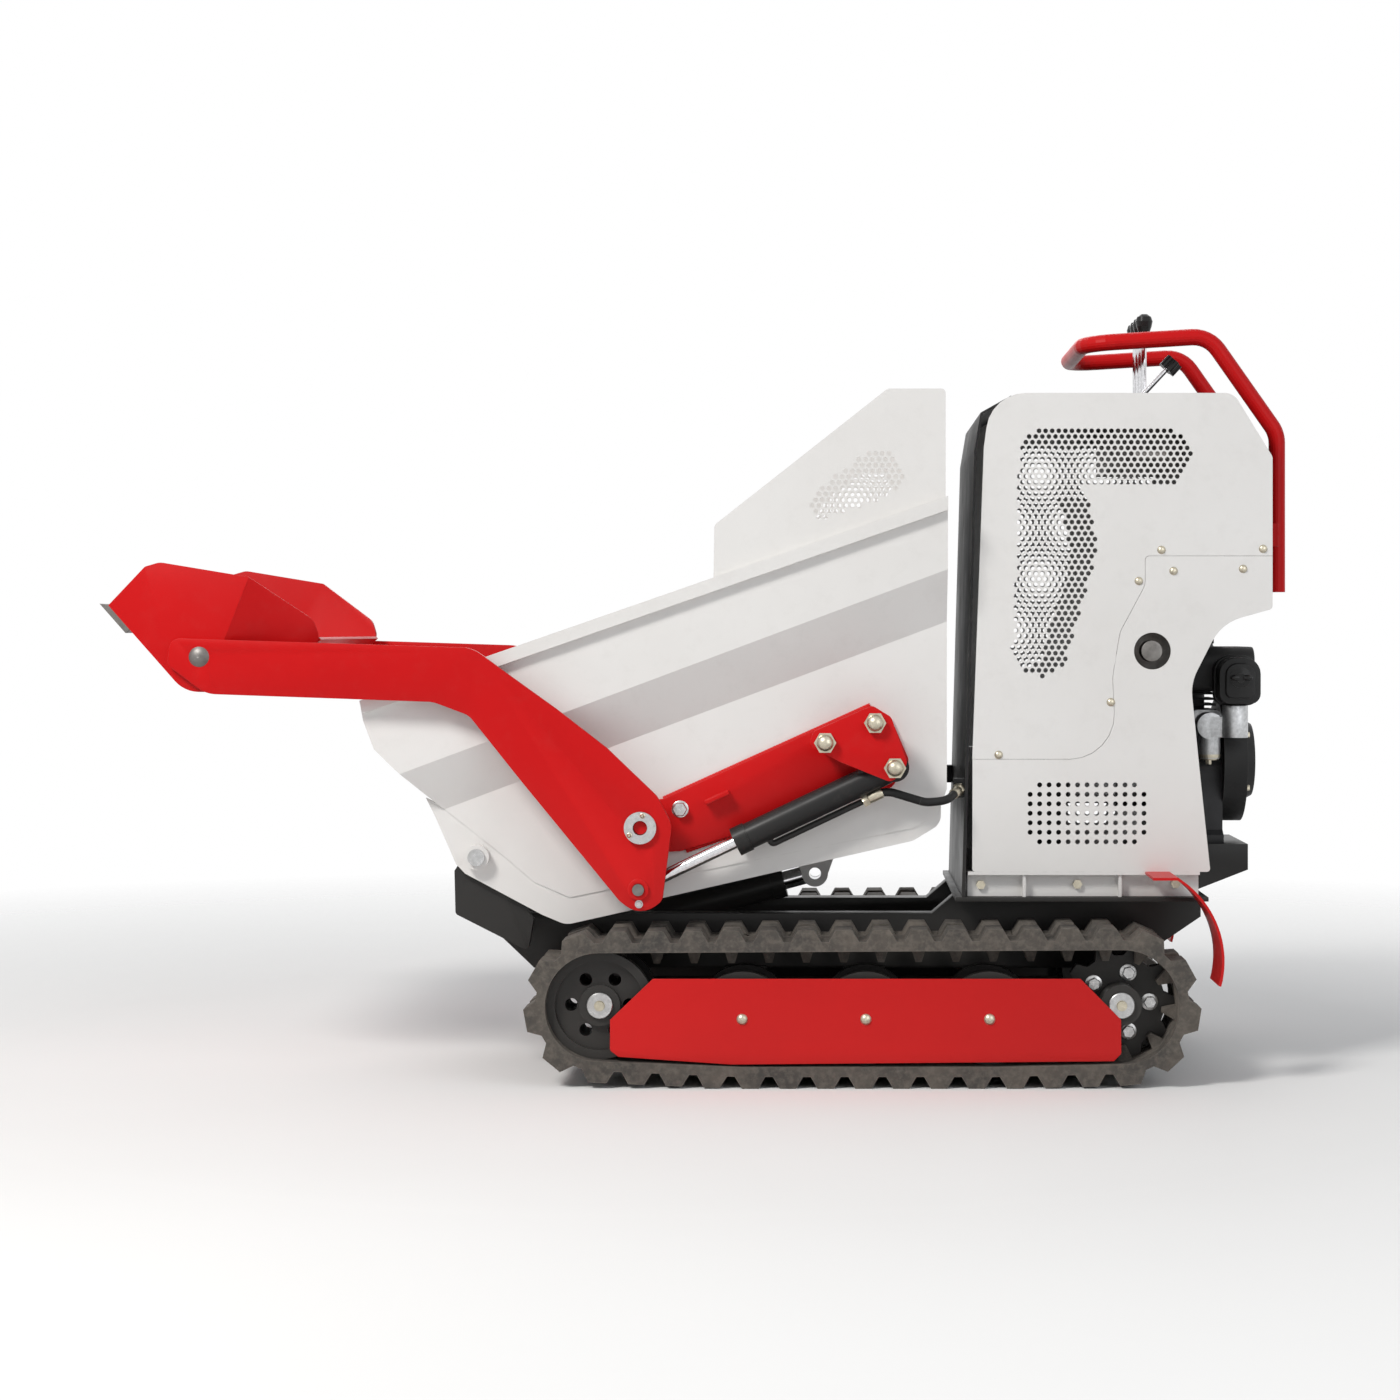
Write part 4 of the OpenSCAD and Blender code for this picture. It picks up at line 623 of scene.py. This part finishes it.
def make_hub_rings(name, side):
    bm = bmesh.new()
    for x in (IDLER_X, SPROCKET_X):
        add_ring(bm, Vector((x, side * HUB_FACE, HUB_Z)), Vector((0, side, 0)), HUB_RING, 40)
    finish_piece(name + "_hub_rings", bm, "chassis", "bright_steel")


# Flange bolts over the round holes of the sprockets
SPROCKET_BOLTS = 5
SPROCKET_BOLT_AT = 0.058
SPROCKET_FACE = 0.338
WASHER = [(0.0160, 0.0), (0.0160, 0.0022), (0.0150, 0.0028)]
WASHER_SIDES = 24


def make_sprocket_bolts(name, side):
    bm = bmesh.new()
    for i in range(SPROCKET_BOLTS):
        t = 2 * math.pi * i / SPROCKET_BOLTS
        x = SPROCKET_X + SPROCKET_BOLT_AT * math.cos(t)
        place = Vector((x, side * SPROCKET_FACE, HUB_Z + SPROCKET_BOLT_AT * math.sin(t)))
        add_bolt(bm, place, Vector((0, side, 0)), WASHER, WASHER_SIDES, across=0.021, height=0.010, turned=t)
    finish_piece(name + "_sprocket_bolts", bm, name + "_sprocket", "bright_steel")


# Weld beads along the back edges of each loader mount plate, and a bolt and washer at its front
MOUNT_TOP = (mm(-73, 0, 530), mm(318, 0, 707))
MOUNT_FOOT = (mm(-30, 0, 431), mm(330, 0, 555))
MOUNT_BACK = 0.3015
MOUNT_FACE = 0.310
MOUNT_WELD = 0.0045
MOUNT_BOLT = mm(-41, 0, 511)


def make_mount_welds(name, side):
    plate_in = side * MOUNT_BACK
    bm = bmesh.new()
    for a, b in (MOUNT_TOP, MOUNT_FOOT):
        add_weld(bm, Vector((a.x, plate_in, a.z)), Vector((b.x, plate_in, b.z)), MOUNT_WELD)
    finish_piece(name + "_mount_welds", bm, "hopper", "red_paint", smooth_deg=60.0)


def make_mount_bolt(name, side):
    bm = bmesh.new()
    place = Vector((MOUNT_BOLT.x, side * MOUNT_FACE, MOUNT_BOLT.z))
    add_bolt(bm, place, Vector((0, side, 0)), WASHER, WASHER_SIDES, across=0.024, height=0.013)
    finish_piece(name + "_mount_bolt", bm, "hopper", "bright_steel")


# Screws round the rim of the engine's recoil shroud
SHROUD_RIM_BACK = 0.022
SHROUD_Z = 0.590
SHROUD_BOLTS = 6
SHROUD_BOLT_AT = 0.104
SHROUD_WASHER = [(0.009, 0), (0.009, 0.0015)]


def make_shroud_bolts():
    rim_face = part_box("engine_shroud")[1].x - SHROUD_RIM_BACK
    bm = bmesh.new()
    for i in range(SHROUD_BOLTS):
        t = 2 * math.pi / SHROUD_BOLTS * i + math.pi / SHROUD_BOLTS
        place = Vector((rim_face, SHROUD_BOLT_AT * math.cos(t), SHROUD_Z + SHROUD_BOLT_AT * math.sin(t)))
        add_bolt(bm, place, REAR, SHROUD_WASHER, 16, across=0.010, height=0.006, turned=t)
    finish_piece("shroud_bolts", bm, "chassis", "zinc_plate")


# Float bowl below the carburettor, with its drain screw
BOWL_X, BOWL_Y = 0.983, -0.121
BOWL = [(0.0235, -0.008), (0.0235, -0.002), (0.020, 0.003), (0.006, 0.004)]


def make_bowl_drain():
    place = Vector((BOWL_X, BOWL_Y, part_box("carburettor")[0].z))
    bm = bmesh.new()
    add_bolt(bm, place, DOWN, BOWL, 28, across=0.011, height=0.008)
    finish_piece("bowl_drain", bm, "chassis", "zinc_plate", smooth_deg=50.0)


# Wing nut on the air cleaner
NUT_RAISED = 0.006
NUT_BOSS = [(0.020, 0), (0.020, 0.002), (0.009, 0.004), (0.009, 0.008)]
NUT_WING = [(0.005, 0), (0.006, 0.008), (0.004, 0.014), (0.001, 0.016)]
WING_FROM_AXIS = 0.006
WING_FROM_FACE = 0.009
WING_LEAN = 0.25


def make_wing_nut():
    low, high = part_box("air_cleaner")
    centre = Vector(((low.x + high.x) / 2, low.y, (low.z + high.z) / 2 + NUT_RAISED))
    bm = bmesh.new()
    add_turned(bm, centre, LEFT, NUT_BOSS, 24)
    for way in (-1, 1):
        root = centre + Vector((WING_FROM_AXIS * way, -WING_FROM_FACE, 0))
        add_turned(bm, root, Vector((way, -WING_LEAN, 0)), NUT_WING, 14)
    finish_piece("cleaner_wing_nut", bm, "chassis", "knob_plastic", smooth_deg=50.0)


# Ribbed grip over the fuel cap
CAP_X, CAP_Y = 0.985, 0.030
CAP_POINTS = 48
CAP_RADII = (0.0283, 0.0300)
CAP_LEVELS = ((-0.016, 1.0), (0.0, 1.0), (0.004, 0.88), (0.006, 0.5))


def make_cap_grip():
    centre = Vector((CAP_X, CAP_Y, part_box("fuel_tank")[1].z))
    ribs = []
    for i in range(CAP_POINTS):
        r = CAP_RADII[i % 2]
        t = 2 * math.pi * i / CAP_POINTS
        ribs.append((r * math.cos(t), r * math.sin(t)))
    bm = bmesh.new()
    add_rings(bm, [[centre + Vector((x * scale, y * scale, h)) for x, y in ribs] for h, scale in CAP_LEVELS])
    finish_piece("fuel_cap_grip", bm, "chassis", "knob_plastic", smooth_deg=30.0)


# Softened copies of CAD nodes, with their sharp edges broken
SOFT_EDGES = {
    "left_track": 0.0022,
    "right_track": 0.0022,
    "lift_arms": 0.0016,
    "shovel": 0.0012,
    "loader_mounts": 0.0012,
    "cylinder_brackets": 0.0012,
    "track_guards": 0.0010,
    "engine_block": 0.0012,
    "air_cleaner": 0.0060,
    "fuel_tank": 0.0050,
    "muffler": 0.0040,
    "gear_pump": 0.0020,
    "carburettor": 0.0020,
    "hydraulic_tank": 0.0030,
    "chassis_frame": 0.0012,
}
MERGE_DIST = 2e-5
CLEAN_DIST = 1e-6
FLAT_DEG = 0.6
SHARP_DEG = 32.0
BEVEL_SEGMENTS = 2
PIVOT_BORE = 0.0188
BORE_EASE = 0.0003


def ease_bore(bm):
    """Opens the copy's pivot bores a little, so that the facets of the pins turn freely in them."""
    for v in bm.verts:
        out = Vector((v.co.x - PIVOT.x, 0, v.co.z - PIVOT.z))
        if out.length < PIVOT_BORE:
            v.co += out.normalized() * BORE_EASE


def make_softened(node, width):
    source = NODES[node]
    body = source["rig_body"]
    bm = bmesh.new()
    bm.from_mesh(source.data)
    bmesh.ops.remove_doubles(bm, verts=bm.verts, dist=MERGE_DIST)
    bmesh.ops.dissolve_limit(bm, angle_limit=math.radians(FLAT_DEG), verts=bm.verts, edges=bm.edges)
    if node == "lift_arms":
        ease_bore(bm)
    sharp = []
    for e in bm.edges:
        if len(e.link_faces) == 2 and e.calc_face_angle() > math.radians(SHARP_DEG):
            sharp.append(e)
    bmesh.ops.bevel(bm, geom=sharp, offset=width, offset_type="OFFSET", segments=BEVEL_SEGMENTS, profile=0.5,
                    affect="EDGES", clamp_overlap=True, loop_slide=True)
    bmesh.ops.remove_doubles(bm, verts=bm.verts, dist=CLEAN_DIST)
    finish_piece(node + "_soft", bm, body, SLOT_OF[node], smooth_deg=40.0, replaces=(node,))


for side_name, side_sign in SIDES:
    make_hose(side_name, side_sign)
    make_nipples(side_name, side_sign)
    make_mount_welds(side_name, side_sign)
    make_pivot_plug(side_name, side_sign)
    make_lock_bolt(side_name, side_sign)
    make_hub_rings(side_name, side_sign)
    make_sprocket_bolts(side_name, side_sign)
    make_mount_bolt(side_name, side_sign)
make_shroud_bolts()
make_bowl_drain()
make_wing_nut()
make_cap_grip()
for node_name, edge_width in SOFT_EDGES.items():
    make_softened(node_name, edge_width)


# Studio: a pale floor in a white surround, with three soft lights
FLOOR_RADIUS = 4.2
FLOOR_SOLID = 1.5
FLOOR_SIDES = 64
FLOOR_PALE = (0.90, 0.90, 0.895)
FLOOR_SHADE = (0.885, 0.885, 0.88)
FLOOR_TONES = 3.0
FLOOR_ROUGH = 0.9
SKY_FILL = (0.95, 0.97, 1.0, 1)
SKY_FILL_STRENGTH = 0.34
SKY_SEEN = (1, 1, 1, 1)
LIGHTS = (
    {"name": "key", "place": (-2.6, -3.4, 4.3), "target": (0, 0, 0.6), "size": 1.3, "watts": 215,
     "colour": (1.0, 0.98, 0.95)},
    {"name": "fill", "place": (3.2, -3.4, 2.2), "target": (0.3, 0, 0.6), "size": 3.0, "watts": 36,
     "colour": (0.95, 0.97, 1.0)},
    {"name": "back", "place": (0.5, 4.2, 3.6), "target": (0, 0, 0.7), "size": 3.0, "watts": 60,
     "colour": (1, 1, 1)},
)


def floor_material():
    """Pale matt floor that fades into the white surround away from the object."""
    mat, tree, bsdf = new_material("floor_pale")
    coords = object_coords(tree)
    tone = noise(tree, coords, FLOOR_TONES)
    base = blend_colour(tree, tone, FLOOR_PALE, FLOOR_SHADE)
    tree.links.new(base, bsdf.inputs["Base Color"])
    bsdf.inputs["Roughness"].default_value = FLOOR_ROUGH
    reach = tree.nodes.new("ShaderNodeVectorMath")
    reach.operation = "LENGTH"
    tree.links.new(coords, reach.inputs[0])
    fade = ramp(tree, reach.outputs["Value"], FLOOR_SOLID, FLOOR_RADIUS)
    clear = tree.nodes.new("ShaderNodeBsdfTransparent")
    mix = tree.nodes.new("ShaderNodeMixShader")
    tree.links.new(fade, mix.inputs["Fac"])
    tree.links.new(bsdf.outputs["BSDF"], mix.inputs[1])
    tree.links.new(clear.outputs["BSDF"], mix.inputs[2])
    out = [n for n in tree.nodes if n.type == "OUTPUT_MATERIAL"][0]
    tree.links.new(mix.outputs["Shader"], out.inputs["Surface"])
    return mat


def make_floor():
    bm = bmesh.new()
    bmesh.ops.create_circle(bm, cap_ends=True, segments=FLOOR_SIDES, radius=FLOOR_RADIUS)
    mesh = bpy.data.meshes.new("floor")
    bm.to_mesh(mesh)
    bm.free()
    mesh.materials.append(floor_material())
    floor = bpy.data.objects.new("floor", mesh)
    bpy.context.scene.collection.objects.link(floor)


def make_world():
    """Dim sky for the light that surfaces scatter, plain white where the camera or a reflection sees it."""
    world = bpy.data.worlds.new("studio")
    bpy.context.scene.world = world
    world.use_nodes = True
    tree = world.node_tree
    tree.nodes.clear()
    out = tree.nodes.new("ShaderNodeOutputWorld")
    fill = tree.nodes.new("ShaderNodeBackground")
    fill.inputs["Color"].default_value = SKY_FILL
    fill.inputs["Strength"].default_value = SKY_FILL_STRENGTH
    white = tree.nodes.new("ShaderNodeBackground")
    white.inputs["Color"].default_value = SKY_SEEN
    white.inputs["Strength"].default_value = 1.0
    path = tree.nodes.new("ShaderNodeLightPath")
    seen = maths(tree, "MAXIMUM", path.outputs["Is Camera Ray"], path.outputs["Is Glossy Ray"])
    seen = maths(tree, "MAXIMUM", seen, path.outputs["Is Transmission Ray"])
    mix = tree.nodes.new("ShaderNodeMixShader")
    tree.links.new(seen, mix.inputs["Fac"])
    tree.links.new(fill.outputs["Background"], mix.inputs[1])
    tree.links.new(white.outputs["Background"], mix.inputs[2])
    tree.links.new(mix.outputs["Shader"], out.inputs["Surface"])


def make_light(name, place, target, size, watts, colour):
    data = bpy.data.lights.new(name, "AREA")
    data.energy = watts
    data.size = size
    data.color = colour
    lamp = bpy.data.objects.new(name, data)
    lamp.location = place
    lamp.rotation_euler = (Vector(target) - Vector(place)).to_track_quat("-Z", "Y").to_euler()
    bpy.context.scene.collection.objects.link(lamp)


# Camera: the photograph is square and looks at the machine's left side
IMAGE_PX = 1400
CAMERA_POS = Vector((0.242, -5.415, 0.849))
FOCAL_PX = 2703
CENTRE_PX = (830, 630)
SENSOR_MM = 36.0
CLIP_END = 60.0


def make_camera():
    data = bpy.data.cameras.new("camera")
    data.sensor_width = SENSOR_MM
    data.lens = FOCAL_PX * SENSOR_MM / IMAGE_PX
    half = IMAGE_PX / 2
    data.shift_x = (half - CENTRE_PX[0]) / IMAGE_PX
    data.shift_y = (CENTRE_PX[1] - half) / IMAGE_PX
    data.clip_end = CLIP_END
    camera = bpy.data.objects.new("camera", data)
    camera.location = CAMERA_POS
    camera.rotation_euler = (math.pi / 2, 0, 0)
    bpy.context.scene.collection.objects.link(camera)
    bpy.context.scene.camera = camera


make_floor()
make_world()
for light in LIGHTS:
    make_light(**light)
make_camera()
bpy.context.scene.view_settings.view_transform = "Standard"
